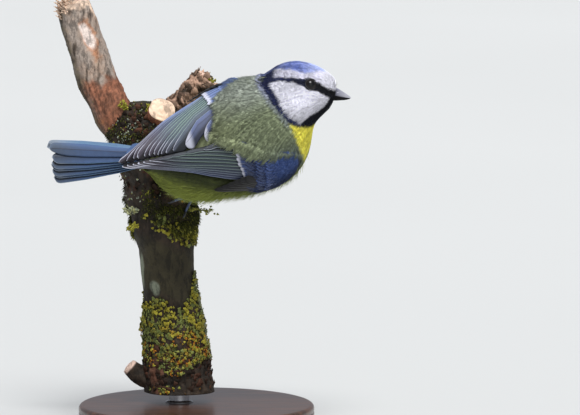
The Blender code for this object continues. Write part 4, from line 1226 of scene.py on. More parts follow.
def under_wings(points):
    """Degrees inside the band of either folded wing, below zero outside both."""
    return np.maximum(WINGS["left"].under(points), WINGS["right"].under(points))


def drape(points, height):
    """Lifts points that lie over a folded wing to that height over the wing."""
    share = smooth(under_wings(points) / 6.0 + 0.46)
    pick = share > 0
    body = to_body(points[pick])
    s = body[:, 0]
    degrees = np.degrees(roll_of(body))
    cover = np.interp(s, [-16, -10.5, 17, 20], [0.15, 0.85, 0.8, 0.3])
    lifted = sheet(s, degrees, cover + height[pick])
    out = points.copy()
    out[pick] = mixed(points[pick], lifted, share[pick])
    return out


def coat_weight(points):
    """Where feathers root: not under the wings, the eyes or the bill, closer on the head."""
    covered = smooth((under_wings(points) + 3.0) / 2) * (mantle_depth(points) < 0.5)
    body = to_body(points)
    return (1 - covered) * bare_spots(points) * (1 + 1.6 * head_share(points)) * (body[:, 0] > -38)


def coat(feathers, barbs, grid, select, seed, length, width, lift):
    """Small feathers, each a few slim tufts fanned a little from one root on the skin
    and following the lie: every station is a step along it, drawn back to its own height
    over the trunk, and over the wings where they lie. A tuft rises steeply at first and
    then runs near the surface; its tint is the marking under its end."""
    rng = np.random.default_rng(seed)
    root, place = scatter(feathers, grid, lambda p: coat_weight(p) * select(p), rng)
    normal = slope(root)
    lie = lie_of(root, normal)
    turn = rng.normal(0, 0.06, feathers)
    long = length(root) * rng.uniform(0.75, 1.2, feathers)
    wide = width(root)
    rise = lift(root)
    high = np.minimum(rise, 0.5) * rng.uniform(-0.1, 0.3, feathers) + 0.5 * np.maximum(rise - 0.5, 0)
    curl = rng.normal(0, 0.02, feathers)
    shade = rng.random(feathers)
    root, place, normal, lie, turn, long, wide, high, curl, shade = (
        np.repeat(v, barbs, 0) for v in (root, place, normal, lie, turn, long, wide, high, curl, shade))
    count = feathers * barbs
    fan = np.tile(np.linspace(-1, 1, barbs), feathers) + rng.normal(0, 0.25, count)
    sideways = np.cross(normal, lie)
    lie = unit(lie + sideways * (turn + fan * 0.06)[:, None])
    root = root + sideways * (fan * wide * 0.9)[:, None]
    long = long * (1 - 0.08 * fan ** 2) * rng.uniform(0.85, 1.1, count)
    streak = streaks(root + lie * (long * 0.85)[:, None])
    high = high + np.minimum(lift(root), 0.5) * 0.6 * streak + rng.normal(0, 0.03, count)
    path = []
    for t in TUFT_STEPS:
        p = root + lie * (long * t)[:, None] + sideways * (curl * long * t * t)[:, None]
        height = -COAT * (1 - t) ** 2.6 * 1.15 + high * t
        p = p + normal * (height - field(p) - dip(p))[:, None]
        path.append(drape(p, height + 0.3))
    seen = root + lie * (long * 0.75)[:, None] + rng.normal(0, 0.2, (count, 3))
    thick = wide * rng.uniform(0.7, 1.3, count)
    vary = streak * 0.78 + shade * 0.08 + rng.random(count) * 0.14
    return tufts(np.stack(path, 1), normal, thick, plumage(seen), vary, place)


def is_head(points):
    """1 inside the dark hood's outline, with its cheek, brow and cap."""
    return smooth(0.5 - signed(to_head(points)[:, [0, 2]], HOOD) / 1.2)


def body_length(points):
    """Long on the flanks and rump, shorter towards the neck."""
    body = to_body(points)
    around = np.abs(np.degrees(roll_of(body)))
    long = 4.2 - 1.4 * head_share(points) - 0.6 * smooth((body[:, 0] - 12) / 8)
    return long + 2.6 * smooth((around - 74) / 26)


def body_lift(points):
    """Ends stand off most on the flank and at the crest over the left shoulder."""
    body = to_body(points)
    around = np.degrees(roll_of(body))
    crest = smooth(1 - np.abs(around + 66) / 24) * smooth(1 - np.abs(body[:, 0] - 5) / 15)
    return 0.15 + 0.35 * smooth((np.abs(around) - 76) / 26) + 2.0 * crest


def by_bill(at, sizes):
    """A size that goes by the distance from the foot of the bill."""
    return lambda points: np.interp(np.linalg.norm(points - BILL_ROOT, axis=-1), at, sizes)


def wisps(grid):
    """Loose hair-like ends that stand off the flank, the breast and the shoulder."""
    rng = np.random.default_rng(31)

    def edge_of_flank(points):
        """Weight of the lower flank and of the left shoulder."""
        body = to_body(points)
        theta = np.degrees(roll_of(body))
        low = smooth(1 - np.abs(theta - 98) / 26)
        low = low * smooth((body[:, 0] + 34) / 10) * smooth((24 - body[:, 0]) / 8)
        top = smooth(1 - np.abs(theta + 62) / 20) * smooth(1 - np.abs(body[:, 0] - 9) / 9)
        return coat_weight(points) * (low + 0.8 * top)

    count = 1900
    root, place = scatter(count, grid, edge_of_flank, rng)
    normal = slope(root)
    lie = lie_of(root, normal)
    sideways = np.cross(normal, lie)
    lie = unit(lie + sideways * rng.normal(0, 0.3, count)[:, None])
    long = rng.uniform(4.0, 9.0, count)
    rise = rng.uniform(0.3, 2.8, count)
    path = []
    for t in np.linspace(0, 1, 4):
        p = root + lie * (long * t)[:, None]
        p = p + normal * (-COAT * (1 - t) + rise * t ** 1.6 - np.where(t > 0, field(p), 0))[:, None]
        path.append(p)
    tint = mixed(plumage(root), srgb(176, 188, 96), 0.45)
    return tufts(np.stack(path, 1), normal, np.full(count, 0.19), tint, rng.random(count), place)


def thigh_ends(side):
    """Hip and ankle."""
    return from_body(LEG_PLANS[side]["hip"]), np.array(LEG_PLANS[side]["ankle"])


def thigh_shape(side):
    """Feathered thigh: a taper from hip to ankle, pulled in by the coat."""
    hip, ankle = thigh_ends(side)
    t = np.linspace(0, 1, 14)[:, None]
    radius = np.interp(t[:, 0], [0, 0.55, 0.95, 1], [4.4, 3.4, 1.9, 1.4]) - 0.7
    return tube(hip + (ankle - hip) * t, radius, BODY[0], 24)


def thigh_coat(side):
    """Tufts down the thigh, longer over the ankle: paths run down its sides."""
    rng = np.random.default_rng(17)
    hip, ankle = thigh_ends(side)
    down = unit(ankle - hip)
    size = np.linalg.norm(ankle - hip)
    e1 = unit(np.cross(down, BODY[0]))
    e2 = np.cross(down, e1)
    count = 1900
    a = rng.uniform(0, 2 * math.pi, count)
    d = size * rng.uniform(0.05, 0.98, count)
    out = np.cos(a)[:, None] * e1 + np.sin(a)[:, None] * e2
    long = rng.uniform(1.6, 3.2, count)
    path = []
    for t in TUFT_STEPS:
        at = d + long * t
        radius = np.interp(at / size, [0, 0.55, 0.95, 1.1], [4.3, 3.3, 1.8, 1.2]) - 0.75 * (1 - t) + 0.2 * t
        path.append(hip + down * at[:, None] + out * radius[:, None])
    # The flank and belly colours mixed here carry painted shade.
    tint = mixed(FLANK_SHADED, BELLY, rng.random(count))
    tint = mixed(tint, srgb(196, 196, 176), smooth(d / size * 2 - 0.9) * 0.7)
    place = np.stack([a / (2 * math.pi), 0.02 + 0.96 * d / size], 1)
    return tufts(np.stack(path, 1), out, np.full(count, 0.3), tint, rng.random(count), place)


def plumage_finish(name, sheen, low, high, foot):
    """Tint of the feather, darker at its root as painted shade among the feathers and a little paler at its
    end as painted light, each tuft a little lighter or darker.
    """
    p = Paint(name, Sheen_Weight=sheen, Sheen_Roughness=0.5, Specular_IOR_Level=0.2)
    tint = p.attribute("tint", 1)
    vary = p.attribute("vary", 2)
    along = p.attribute("along", 2)
    light = p.spread(vary, low, high) * p.spread(along, foot, 1.08)
    fine = p.noise(p.place(), 2600.0, 1.0)
    return p.wear(p.scaled(tint, light * p.spread(fine, 0.88, 1.12)), p.spread(fine, 0.62, 0.82))


def skin_finish():
    """Ground between the feathers with the same markings, darker partly for the feather bases and partly as
    painted shade down in the coat, faintly streaked.
    """
    p = Paint("plumage_ground", Specular_IOR_Level=0.2)
    tint = p.attribute("tint", 1)
    grain = p.noise(p.place(), 900.0, 3.0)
    colour = p.scaled(tint, p.spread(grain, 0.6, 0.9))
    return p.wear(colour, p.spread(grain, 0.75, 0.9), grain, 0.4, 0.0003)


BODY_FEATHERS = 4640
BODY_BARBS = 4
HEAD_FEATHERS = 5900
HEAD_BARBS = 3


def build_coat():
    """Skin and feathers of body, head and thighs."""
    grid = trunk(trunk_steps(130, 10), 120)[1]
    centres, points = trunk(trunk_steps(TRUNK_ROWS, NOSE_ROWS), TRUNK_TURN, COAT)
    flat = points.reshape(-1, 3)
    points = (flat - slope(flat) * dip(flat)[:, None]).reshape(points.shape)
    nose = from_head(to_head(points[-1]).mean(0) + np.array([0.25, 0, 0]))
    skin = wrapped(points, centres[0], nose)
    shapes = [skin] + [thigh_shape(side) for side in LEG_PLANS]
    for shape in shapes:
        shape.paint(tint=plumage(shape.verts))
    flesh = ("head", "neck", "torso", "rump", "thigh_left", "thigh_right")
    piece("skin", joined(shapes), skin_finish(), flesh)
    soft = plumage_finish("plumage_coat", 0.04, 0.55, 1.34, 0.8)
    close = plumage_finish("plumage_face", 0.06, 0.8, 1.32, 0.78)
    for k in range(4):
        shape = coat(BODY_FEATHERS, BODY_BARBS, grid, lambda p: 1 - is_head(p), 40 + k,
                     body_length, by_bill([0], [0.27]), body_lift)
        piece("coat_body_%d" % (k + 1), shape, soft)
    for k in range(2):
        shape = coat(HEAD_FEATHERS, HEAD_BARBS, grid, is_head, 50 + k,
                     by_bill([2, 8, 16, 26], [0.8, 1.4, 2.3, 2.8]), by_bill([2, 10, 24], [0.12, 0.16, 0.22]),
                     by_bill([2, 10, 24], [0.05, 0.12, 0.2]))
        piece("coat_head_%d" % (k + 1), shape, close)
    piece("coat_wisps", wisps(grid), soft)
    for side in LEG_PLANS:
        piece("coat_thigh_" + side, thigh_coat(side), soft)


# Bill, eyes, legs

# Bill: along the head's axis, half width, top of the upper and foot of the lower half
BILL = [
    (10.4, 1.9, 3.45, -1.60), (12.2, 1.9, 3.5, -1.65), (13.4, 1.75, 3.2, -1.5), (14.8, 1.4, 2.6, -1.2),
    (16.4, 1.0, 1.9, -0.85), (17.8, 0.6, 1.2, -0.4), (18.9, 0.22, 0.62, -0.05),
]
MOUTH = [(10.4, 0.75), (13.4, 0.65), (16.4, 0.4), (18.9, 0.2)]
MOUTH_GAP = 0.07
NOSTRIL = (13.1, 2.35)


def bill_shape(upper):
    """Half of the bill: across, y = w sin a; up, the mouth's line plus the depth times
    cos a to the power 0.8, sharper along the ridge; a pit for the nostril."""
    x = np.linspace(BILL[0][0], BILL[-1][0] if upper else 18.5, 60)
    half = looked_up(x, BILL)
    far = looked_up(x, BILL, 2 if upper else 3)
    line = looked_up(x, MOUTH) + (MOUTH_GAP if upper else -MOUTH_GAP)
    tip = np.sqrt(np.clip((x[-1] + 0.02 - x) / 0.9, 0, 1))
    half, far = half * np.minimum(tip + 0.05, 1), line + (far - line) * (0.35 + 0.65 * tip)
    a = np.linspace(-math.pi / 2, math.pi / 2, 33)
    top = np.stack([x[:, None] + 0 * a, half[:, None] * np.sin(a),
                    line[:, None] + (far - line)[:, None] * np.abs(np.cos(a)) ** 0.8], -1)
    floor = np.linspace(1, -1, 9)[1:-1]
    bottom = np.stack([x[:, None] + 0 * floor, half[:, None] * floor, line[:, None] + 0 * floor], -1)
    rings = np.concatenate([top, bottom], 1)
    if upper:
        pit = bell((rings[..., 0] - NOSTRIL[0]) / 0.42, (rings[..., 2] - NOSTRIL[1]) / 0.22)
        rings[..., 1] -= 0.5 * pit * np.sign(rings[..., 1])
    rings = from_head(rings)
    return wrapped(rings, rings[0].mean(0), rings[-1].mean(0))


def bristles():
    """Short dark bristles that lie forward over the foot of the bill."""
    rng = np.random.default_rng(21)
    count = 110
    a = rng.uniform(-2.4, 2.4, count)
    root = from_head(np.stack([rng.uniform(9.2, 10.3, count), 2.3 * np.sin(a), 1.0 + 2.9 * np.cos(a)], 1))
    root = root - slope(root) * (field(root) + dip(root) + 0.3)[:, None]
    ahead = from_head((1, 0, 0)) - HEAD_AT
    out = slope(root)
    long = rng.uniform(1.0, 1.9, count)
    sway = rng.normal(0, 0.25, (count, 1)) * HEAD[1]
    path = []
    for t in np.linspace(0, 1, 4):
        path.append(root + (ahead + sway) * (long * t)[:, None] + out * (0.35 * t * (1 - 0.6 * t)))
    grey = np.tile(srgb(90, 92, 104), (count, 1))
    shade = mixed(np.tile(BLACK, (count, 1)), grey, rng.random(count) * 0.6)
    place = np.stack([a / 6 + 0.5, np.full(count, 0.95)], 1)
    return tufts(np.stack(path, 1), out, np.full(count, 0.09), shade, rng.random(count), place)


def lid_shape(centre, out):
    """Ring of the lids: an almond of two rounded folds round the eyeball."""
    up = unit(HEAD[2] - out * np.dot(HEAD[2], out))
    ahead = np.cross(out, up)
    count, turn = 72, 14
    a = turns(count)[:, None, None]
    b = turns(turn)[None, :, None]
    way = np.cos(a) * ahead + np.sin(a) * up
    wide = 2.02 + 0.14 * np.abs(np.cos(a)) ** 3
    fold = 0.24 + 0.07 * np.sin(a) + 0.02 * np.sin(9 * a) * np.sin(a)
    rise = np.sqrt(EYE_RADIUS ** 2 - np.minimum(wide, 2.3) ** 2)
    rings = centre + way * (wide + fold * np.cos(b)) + out * (rise + 0.06 + fold * 0.9 * np.sin(b))
    i, j = np.meshgrid(np.arange(count), np.arange(turn), indexing="ij")
    k, n = (i + 1) % count, (j + 1) % turn
    quads = np.stack([i * turn + j, k * turn + j, k * turn + n, i * turn + n], -1).reshape(-1, 4)
    return Shape(rings, quads).outward()


# Branch: height, middle and half width of the stem; y is the same all the way
STEM = np.array([
    (12.2, -6.9, 13.8), (19, -8.0, 13.6), (25, -8.0, 12.9), (30, -8.2, 12.6), (36, -8.7, 12.3),
    (41, -9.0, 11.7), (47, -9.5, 10.4), (53, -10.5, 10.4), (59, -11.3, 10.3), (68, -11.8, 10.7),
    (75, -12.9, 12.4), (83, -13.0, 13.2), (88, -14.2, 13.4), (94, -14.3, 12.9), (100, -16.0, 14.2),
    (107, -17.6, 15.0), (114, -19.4, 15.6), (119, -20.2, 13.8), (123, -20.6, 10.5), (125.5, -20.6, 6.5),
])
STEM_Y = 5.0
STEM_DEPTH = 0.92


def stem_point(angle, z, off=0.0):
    """Point on the stem: angle from +X towards -Y, low knobs as sums of sines."""
    angle, z = np.broadcast_arrays(np.asarray(angle, float), np.asarray(z, float))
    x, r = looked_up(z, STEM), looked_up(z, STEM, 2)
    knob = 1 + 0.022 * np.sin(3 * angle + z * 0.11) + 0.016 * np.sin(5 * angle - z * 0.23 + 1.0)
    wide, deep = r * knob + off, r * STEM_DEPTH * knob + off
    return np.stack([x + wide * np.cos(angle), STEM_Y - deep * np.sin(angle), z], -1)


def stem_way(angle, z):
    """Point on the stem and its outward way."""
    base = stem_point(angle, z)
    return base, unit(stem_point(angle, z, 1.0) - base)


LEG_PLANS = {
    "right": {
        "hip": (-13.0, 8.5, -9.0), "ankle": (3.5, -9.5, 97.5), "at": (0.40, 91.2),
        "toes": [(0.45, 91.5, 1.10, 90.9, 0.8), (0.45, 90.9, 1.16, 88.3, 0.9), (0.40, 90.2, 0.86, 83.6, 0.8),
                 (0.30, 90.6, -0.42, 87.4, 0.85)],
    },
    "left": {
        "hip": (-14.0, -7.0, -9.5), "ankle": (-3.5, -7.4, 106.0), "at": (0.75, 99.5),
        "toes": [(0.80, 99.8, 1.38, 102.0, 0.85), (0.80, 99.4, 1.46, 98.4, 0.9),
                 (0.76, 98.8, 1.14, 94.9, 0.8), (0.68, 99.0, 0.06, 96.6, 0.85)],
    },
}
TOE_LIFT = 1.15


def scutes(count, turn, many, depth):
    """Radius factors of overlapping plates: a saw of so many teeth along, on the front."""
    t = np.linspace(0, 1, count)[:, None]
    saw = 1 - (t * many) % 1.0
    front = 0.4 + 0.6 * smooth(np.cos(turns(turn))[None] * 0.7 + 0.5)
    return 1 + depth * (saw - 0.5) * front


def foot_shapes(side):
    """Shank, toes with their pads, and claws of one leg."""
    plan = LEG_PLANS[side]
    ankle = np.array(plan["ankle"])
    foot = stem_point(*plan["at"], 1.75)
    t = np.linspace(0, 1, 64)[:, None]
    shank = tube(ankle + (foot - ankle) * t, np.interp(t[:, 0], [0, 0.12, 0.8, 1], [1.0, 0.72, 0.72, 0.95]),
                 BODY[0], 16, scutes(64, 16, 9, 0.16))
    skin = [shank, ball(foot, 1.25, 20)]
    claws = []
    for a0, z0, a1, z1, thick in plan["toes"]:
        t = np.linspace(0, 1, 60)
        lift = TOE_LIFT - 0.25 * t
        path, outer = stem_way(a0 + (a1 - a0) * t, z0 + (z1 - z0) * t)
        path = path + outer * lift[:, None]
        radius = np.interp(t, [0, 0.25, 0.5, 0.75, 1], [0.85, 0.72, 0.7, 0.6, 0.5]) * thick
        pads = 1 + 0.07 * np.cos(t * 3 * 2 * math.pi)[:, None]
        skin.append(tube(path, radius, outer[0], 14, scutes(60, 14, 11, 0.14) * pads))
        ahead = unit(path[-1] - path[-3])
        out = outer[-1]
        begin = path[-1] - ahead * 0.15
        u = np.linspace(0, 1, 16)[:, None]
        arc = begin + ahead * (3.1 * np.sin(u * 1.25)) + out * (1.3 * np.sin(u * 2.0) * 0.55 - 0.55 * u ** 2)
        claws.append(tube(arc, 0.46 * (1 - u[:, 0] ** 1.4) + 0.05, out, 10))
    return joined(skin), claws


def bill_finish(upper):
    """Horn: slate above with a pale end, lighter along its ridge and darker down its sides as painted light
    and shade, near black below, fine streaks along it.
    """
    p = Paint("horn_upper" if upper else "horn_lower", Coat_Weight=0.3 * upper, Coat_Roughness=0.25,
              Specular_IOR_Level=0.5 if upper else 0.1)
    streak = p.noise(p.stretched((260.0, 1500.0, 1500.0)), 1.0, 2.0)
    if upper:
        x = p.parts(p.place())[0] * (1 / MM)
        colour = p.blend(p.step(x, 51.5, 59.5), srgb(76, 78, 108), srgb(196, 196, 206))
        # Above a slanting line the upper half is lighter as painted light, below it darker as painted shade.
        high = p.parts(p.place())[2] * (1 / MM) + (x - 54.0) * 0.45
        colour = p.blend(p.step(high, 132.6, 134.4), p.scaled(colour, 0.7), p.scaled(colour, 1.25))
    else:
        colour = p.blend(streak, srgb(10, 9, 11), srgb(20, 19, 22))
    colour = p.scaled(colour, p.spread(streak, 0.85, 1.12))
    gloss = p.spread(streak, 0.28, 0.45) if upper else p.spread(streak, 0.5, 0.65)
    return p.wear(colour, gloss, streak, 0.15, 0.0001)


def eye_finish(centre, out):
    """Dark brown iris round a black pupil, by distance from the eye's axis, under a
    clear coat."""
    p = Paint("eye_dark", Coat_Weight=0.7, Coat_Roughness=0.03, Coat_IOR=1.33, Roughness=0.3,
              Specular_IOR_Level=0.15)
    front = (np.array(centre) + np.array(out) * EYE_RADIUS) * MM
    rel = p.node("ShaderNodeVectorMath", {"operation": "DISTANCE"}, {0: p.place(), 1: tuple(front)}, 1)
    grain = p.noise(p.place(), 2500.0, 2.0)
    iris = p.blend(grain, srgb(14, 10, 9), srgb(28, 19, 15))
    return p.wear(p.blend(p.step(rel, 0.0013, 0.00145), srgb(4, 4, 6), iris))


def scaly_finish(name, low, high, gloss):
    """Two near tones in blotches and fine grain, with a fine bump."""
    p = Paint(name)
    blotch = p.noise(p.place(), 500.0, 3.0)
    grain = p.noise(p.place(), 3000.0, 2.0)
    colour = p.scaled(p.blend(p.step(blotch, 0.35, 0.7), low, high), p.spread(grain, 0.8, 1.15))
    return p.wear(colour, p.spread(grain, gloss, gloss + 0.15), grain, 0.25, 0.0001)


def build_head_parts():
    """Eyes, lids, bill and bristles."""
    rim = scaly_finish("lid_skin", srgb(16, 16, 20), srgb(34, 35, 42), 0.5)
    for name, (centre, out) in EYES.items():
        shape = ball(centre, EYE_RADIUS, 40)
        piece("eyeball_" + name, shape, eye_finish(centre, out), ("eye_" + name,))
        piece("lids_" + name, lid_shape(centre, out), rim)
    piece("bill_upper", bill_shape(True), bill_finish(True), ("beak_upper",))
    piece("bill_lower", bill_shape(False), bill_finish(False), ("beak_lower",))
    piece("bristles", bristles(), plumage_finish("bristle_hair", 0.0, 0.7, 1.2, 0.8))


def build_legs():
    """Legs with their claws."""
    leather = scaly_finish("leg_scales", srgb(62, 74, 112), srgb(112, 126, 164), 0.42)
    horn = scaly_finish("claw_horn", srgb(30, 32, 42), srgb(70, 74, 88), 0.25)
    for side in LEG_PLANS:
        skin, claws = foot_shapes(side)
        piece("leg_" + side, skin, leather, ("foot_" + side, "tarsus_" + side))
        for k, claw in enumerate(claws):
            piece("nail_%s_%d" % (side, k + 1), claw, horn, ("claw_%s_%d" % (side, k + 1),))


# Branch

HOLLOW = (-14.7, -8.0, 94.0)
HOLLOW_HALF = (3.2, 5.0, 4.6)
HOLLOW_DEPTH = 5.0

BARK_DARK = srgb(36, 30, 23)
BARK_BROWN = srgb(62, 50, 39)
BARK_RED = srgb(112, 74, 56)
BARK_SMOOTH = srgb(54, 49, 33)
BARK_PALE = srgb(128, 134, 116)
BARK_GREY = srgb(140, 128, 118)
BARK_TAN = srgb(150, 128, 112)
WOOD_PALE = srgb(236, 206, 180)
WOOD_RIM = srgb(150, 96, 74)
MOSS_DARK = srgb(40, 44, 18)
MOSS_GREEN = srgb(88, 92, 34)
MOSS_BRIGHT = srgb(150, 148, 58)
LICHEN_YELLOW = srgb(168, 158, 58)
LICHEN_ORANGE = srgb(188, 120, 40)
LICHEN_GREEN = srgb(120, 128, 72)
LICHEN_GREY = srgb(150, 158, 140)


def zone(z, low, high, soft=2.5):
    """1 between two heights, eased at both."""
    return smooth((z - low) / soft + 0.5) * smooth((high - z) / soft + 0.5)


def hollow(points):
    """Square of the distance from the hollow's middle, in its half lengths."""
    return (((points - np.array(HOLLOW)) / np.array(HOLLOW_HALF)) ** 2).sum(-1)


def calm_stretch(angle, z):
    """1 on the stem's smooth stretch, whose ends wave round the stem."""
    return zone(z + 3 * np.sin(angle * 2), 50, 71, 5)


def bark_relief(points, angle, z):
    """Height of the bark in mm: long furrows bent by noise, plates, and much less of
    both on the smooth stretch; the hollow is a rounded pit."""
    calm = calm_stretch(angle, z)
    furrow = np.abs(np.sin(7 * angle + 1.6 * rough(points, 9.0, 4) + z * 0.05))
    plates = rough(points, 5.0, 12, 4)
    deep = 0.55 * (1 - furrow) ** 3 * zone(z, 8, 50, 6)
    height = (1 - calm) * (0.75 * plates - deep + 0.35 * rough(points, 1.2, 15))
    height = height + calm * 0.14 * rough(points, 2.4, 17)
    height = height - 0.3 * (1 - calm) * smooth(rough(points, 2.2, 30) * 4 - 1)
    return height - HOLLOW_DEPTH * np.exp(-hollow(points) ** 1.4)


def bark_tint(points, angle, z):
    """Olive on the smooth stretch, brown and dark elsewhere, a pale patch low on its
    left, a red streak near the foot, and the hollow painted near black as its shade."""
    patch = rough(points, 7.0, 6)
    fine = rough(points, 1.8, 9)
    tint = mixed(BARK_DARK, BARK_BROWN, smooth(0.5 + patch + 0.5 * fine))
    tint = tint * (1 - 0.35 * smooth((z - 86) / 8))[..., None]
    red = smooth(rough(points, 6.0, 19) * 2.2 - 0.4) * zone(z, 88, 130, 8)
    tint = mixed(tint, BARK_RED * 0.7, red * 0.5)
    calm = calm_stretch(angle, z)
    tint = mixed(tint, mixed(BARK_SMOOTH * 0.8, BARK_SMOOTH * 1.2, smooth(0.5 + patch * 1.5)), calm)
    pale = bell((angle - 2.15) / 0.28, (z - 53.5) / 3.6) + 0.35 * patch
    edge = bell((angle - 2.75) / 0.22, (z - 60) / 10) + 0.4 * patch
    tint = mixed(tint, BARK_PALE, smooth((np.maximum(pale, edge) - 0.45) / 0.3) * 0.8)
    streak = bell((angle - 2.2) / 0.3) * zone(z, 12, 26, 5)
    tint = mixed(tint, BARK_RED, smooth(streak * 1.5 + patch - 0.4) * 0.8)
    # The hollow is painted near black as the shade inside it.
    return tint * (1 - 0.85 * np.exp(-hollow(points)))[..., None]


STEM_ROWS = 250
STEM_TURN = 180


def stem_shape():
    """The stem as rings of stem_point pushed out by the bark's relief."""
    z = np.linspace(STEM[0, 0], STEM[-1, 0], STEM_ROWS)[:, None]
    angle = turns(STEM_TURN)[None]
    base, out = stem_way(angle, z)
    fade = smooth((z - STEM[0, 0]) / 1.5) * smooth((STEM[-1, 0] - z) / 3 + 0.3)
    relief = bark_relief(base, angle, z) * fade
    rings = base + out * relief[..., None]
    # The tint is lighter on raised bark and darker in furrows and the hollow: painted light and shade.
    tint = bark_tint(base, angle + 0 * z, z + 0 * angle) * (1 + 0.35 * np.clip(relief, -1, 1))[..., None]
    low = np.array([STEM[0, 1], STEM_Y, STEM[0, 0]])
    top = np.array([STEM[-1, 1], STEM_Y, STEM[-1, 0] + 0.8])
    made = wrapped(rings, low, top)
    ends = np.array([WOOD_PALE * 0.5, MOSS_DARK])
    return made.paint(tint=np.vstack([tint.reshape(-1, 3), ends]))


LIMBS = {
    "branch_left": (
        [(-27, 4.5, 110), (-31.2, 4.8, 119), (-34.6, 5, 126.5), (-37.2, 5, 131.5), (-39.2, 5, 136.5),
         (-42.3, 5.2, 146.4), (-45.3, 5.5, 156), (-47.2, 5.6, 162.5), (-47.9, 5.6, 165.2)],
        [4.5, 8.2, 7.9, 7.5, 7.2, 6.9, 7.1, 6.7, 6.2], 0.0),
    "stub_cut": ([(-16, 3.5, 114.5), (-14.4, -1.5, 120), (-13.4, -5.0, 122.8), (-12.9, -6.4, 123.6)],
                 [5.6, 5.5, 5.2, 5.0], 1.0),
    "stub_right": ([(-12, 7, 115.5), (-6, 7, 122), (-1, 7.2, 127.5), (3.4, 7.4, 132.2), (5.2, 7.5, 134)],
                   [7.0, 6.4, 6.2, 6.0, 5.2], 2.0),
    "stub_low": ([(-13, 3.5, 16.3), (-19, 3.2, 17.2), (-23, 3.0, 19.4), (-26.6, 2.8, 22.4)],
                 [3.6, 3.7, 3.5, 2.9], 3.0),
}


def limb_rings(name, rows, turn, relief):
    """Rings along a limb: a smooth curve of middle and radius, knobs as sums of sines,
    then the relief, a function of point, angle and step, in mm along the spokes."""
    path, radius, phase = LIMBS[name]
    step = np.linspace(0, len(path) - 1, rows)
    line = curve([[*p, r] for p, r in zip(path, radius)], step)
    along = unit(np.gradient(line[:, :3], axis=0))
    e1, e2 = square_ways(along, np.array([0.0, -1.0, 0.0]))
    angle = turns(turn)[None]
    i = step[:, None]
    knob = 1 + 0.05 * np.sin(2 * angle + i * 0.9 + phase) + 0.035 * np.sin(4 * angle - i * 1.3 + phase)
    spoke = np.cos(angle)[..., None] * e1[:, None] + np.sin(angle)[..., None] * e2[:, None]
    base = line[:, None, :3] + spoke * (line[:, 3:] * knob)[..., None]
    height = relief(base, angle, i / (len(path) - 1))
    return line[:, :3], base + spoke * height[..., None], spoke, along


BRANCH_ROWS = 210
BRANCH_TURN = 120


def branch_left_shape():
    """Weathered limb: fine grooves at its foot, a torn scar and a ragged broken end."""
    def relief(points, angle, t):
        groove = 0.22 * np.sin(26 * angle + 2 * rough(points, 6, 2)) * smooth((0.55 - t) / 0.15)
        scar = bell((angle - 0.31) / 0.42, (t - 0.69) / 0.085)
        swell = 0.55 * rough(points, 4.5, 25, 4) + groove
        return swell - 0.9 * smooth(scar * 1.6 - 0.3) + 0.2 * rough(points, 1.0, 26)

    centres, rings, _, along = limb_rings("branch_left", BRANCH_ROWS, BRANCH_TURN, relief)
    t = np.linspace(0, 1, BRANCH_ROWS)[:, None]
    angle = turns(BRANCH_TURN)[None] + 0 * t
    ragged = 1.6 * rough(rings[-1:] * np.array([1, 1, 0]), 2.6, 40, 2) + 0.9 * np.sin(angle[-1:] - 1.0)
    rings = rings + along[:, None] * (ragged * smooth((t - 0.93) / 0.07))[..., None]
    patch, fine = rough(rings, 5.0, 27), rough(rings, 1.4, 28)
    tint = mixed(BARK_GREY, BARK_TAN, smooth(0.5 + patch + 0.4 * fine)) * 1.25
    long = rough(rings * np.array([1.6, 1, 0.32]), 2.6, 29)
    tint = mixed(tint, BARK_BROWN, smooth(long * 2.6 - 0.2) * 0.85)
    # Dark green down the side turned from the light: moss, and painted shade on that side.
    near = np.cos(angle - 0.9)
    green = mixed(BARK_DARK, srgb(84, 84, 56), smooth(fine + 0.4))
    tint = mixed(tint, green, smooth(0.35 - near + 0.7 * patch) * 0.85)
    foot = smooth((0.50 + 0.12 * patch - t) / 0.10)
    red = mixed(BARK_RED, srgb(150, 98, 74), smooth(0.5 + fine))
    tint = mixed(tint, red, foot * smooth(0.75 + np.cos(angle - 1.0)))
    scar = bell((angle - 0.31 + 2 * (t - 0.69)) / 0.42, (t - 0.69) / 0.085)
    tint = mixed(tint, srgb(176, 112, 68), smooth(scar * 3.2 - 0.5 + patch + fine) * 0.65)
    tint = mixed(tint, srgb(222, 206, 196), smooth(scar * 3.0 - 1.1 + 0.6 * fine))
    torn = smooth((t - 0.9 + 0.12 * patch + 0.1 * near) / 0.04)
    tint = mixed(tint, WOOD_PALE, torn * smooth(0.55 + rough(rings, 2, 41)))
    tint = mixed(tint, MOSS_GREEN, smooth(rough(rings, 3.2, 44) * 3 - 1.5) * 0.7)
    made = wrapped(rings, centres[0], centres[-1] - along[-1] * 1.2)
    return made.paint(tint=np.vstack([tint.reshape(-1, 3), BARK_DARK[None], (WOOD_PALE * 0.7)[None]]))


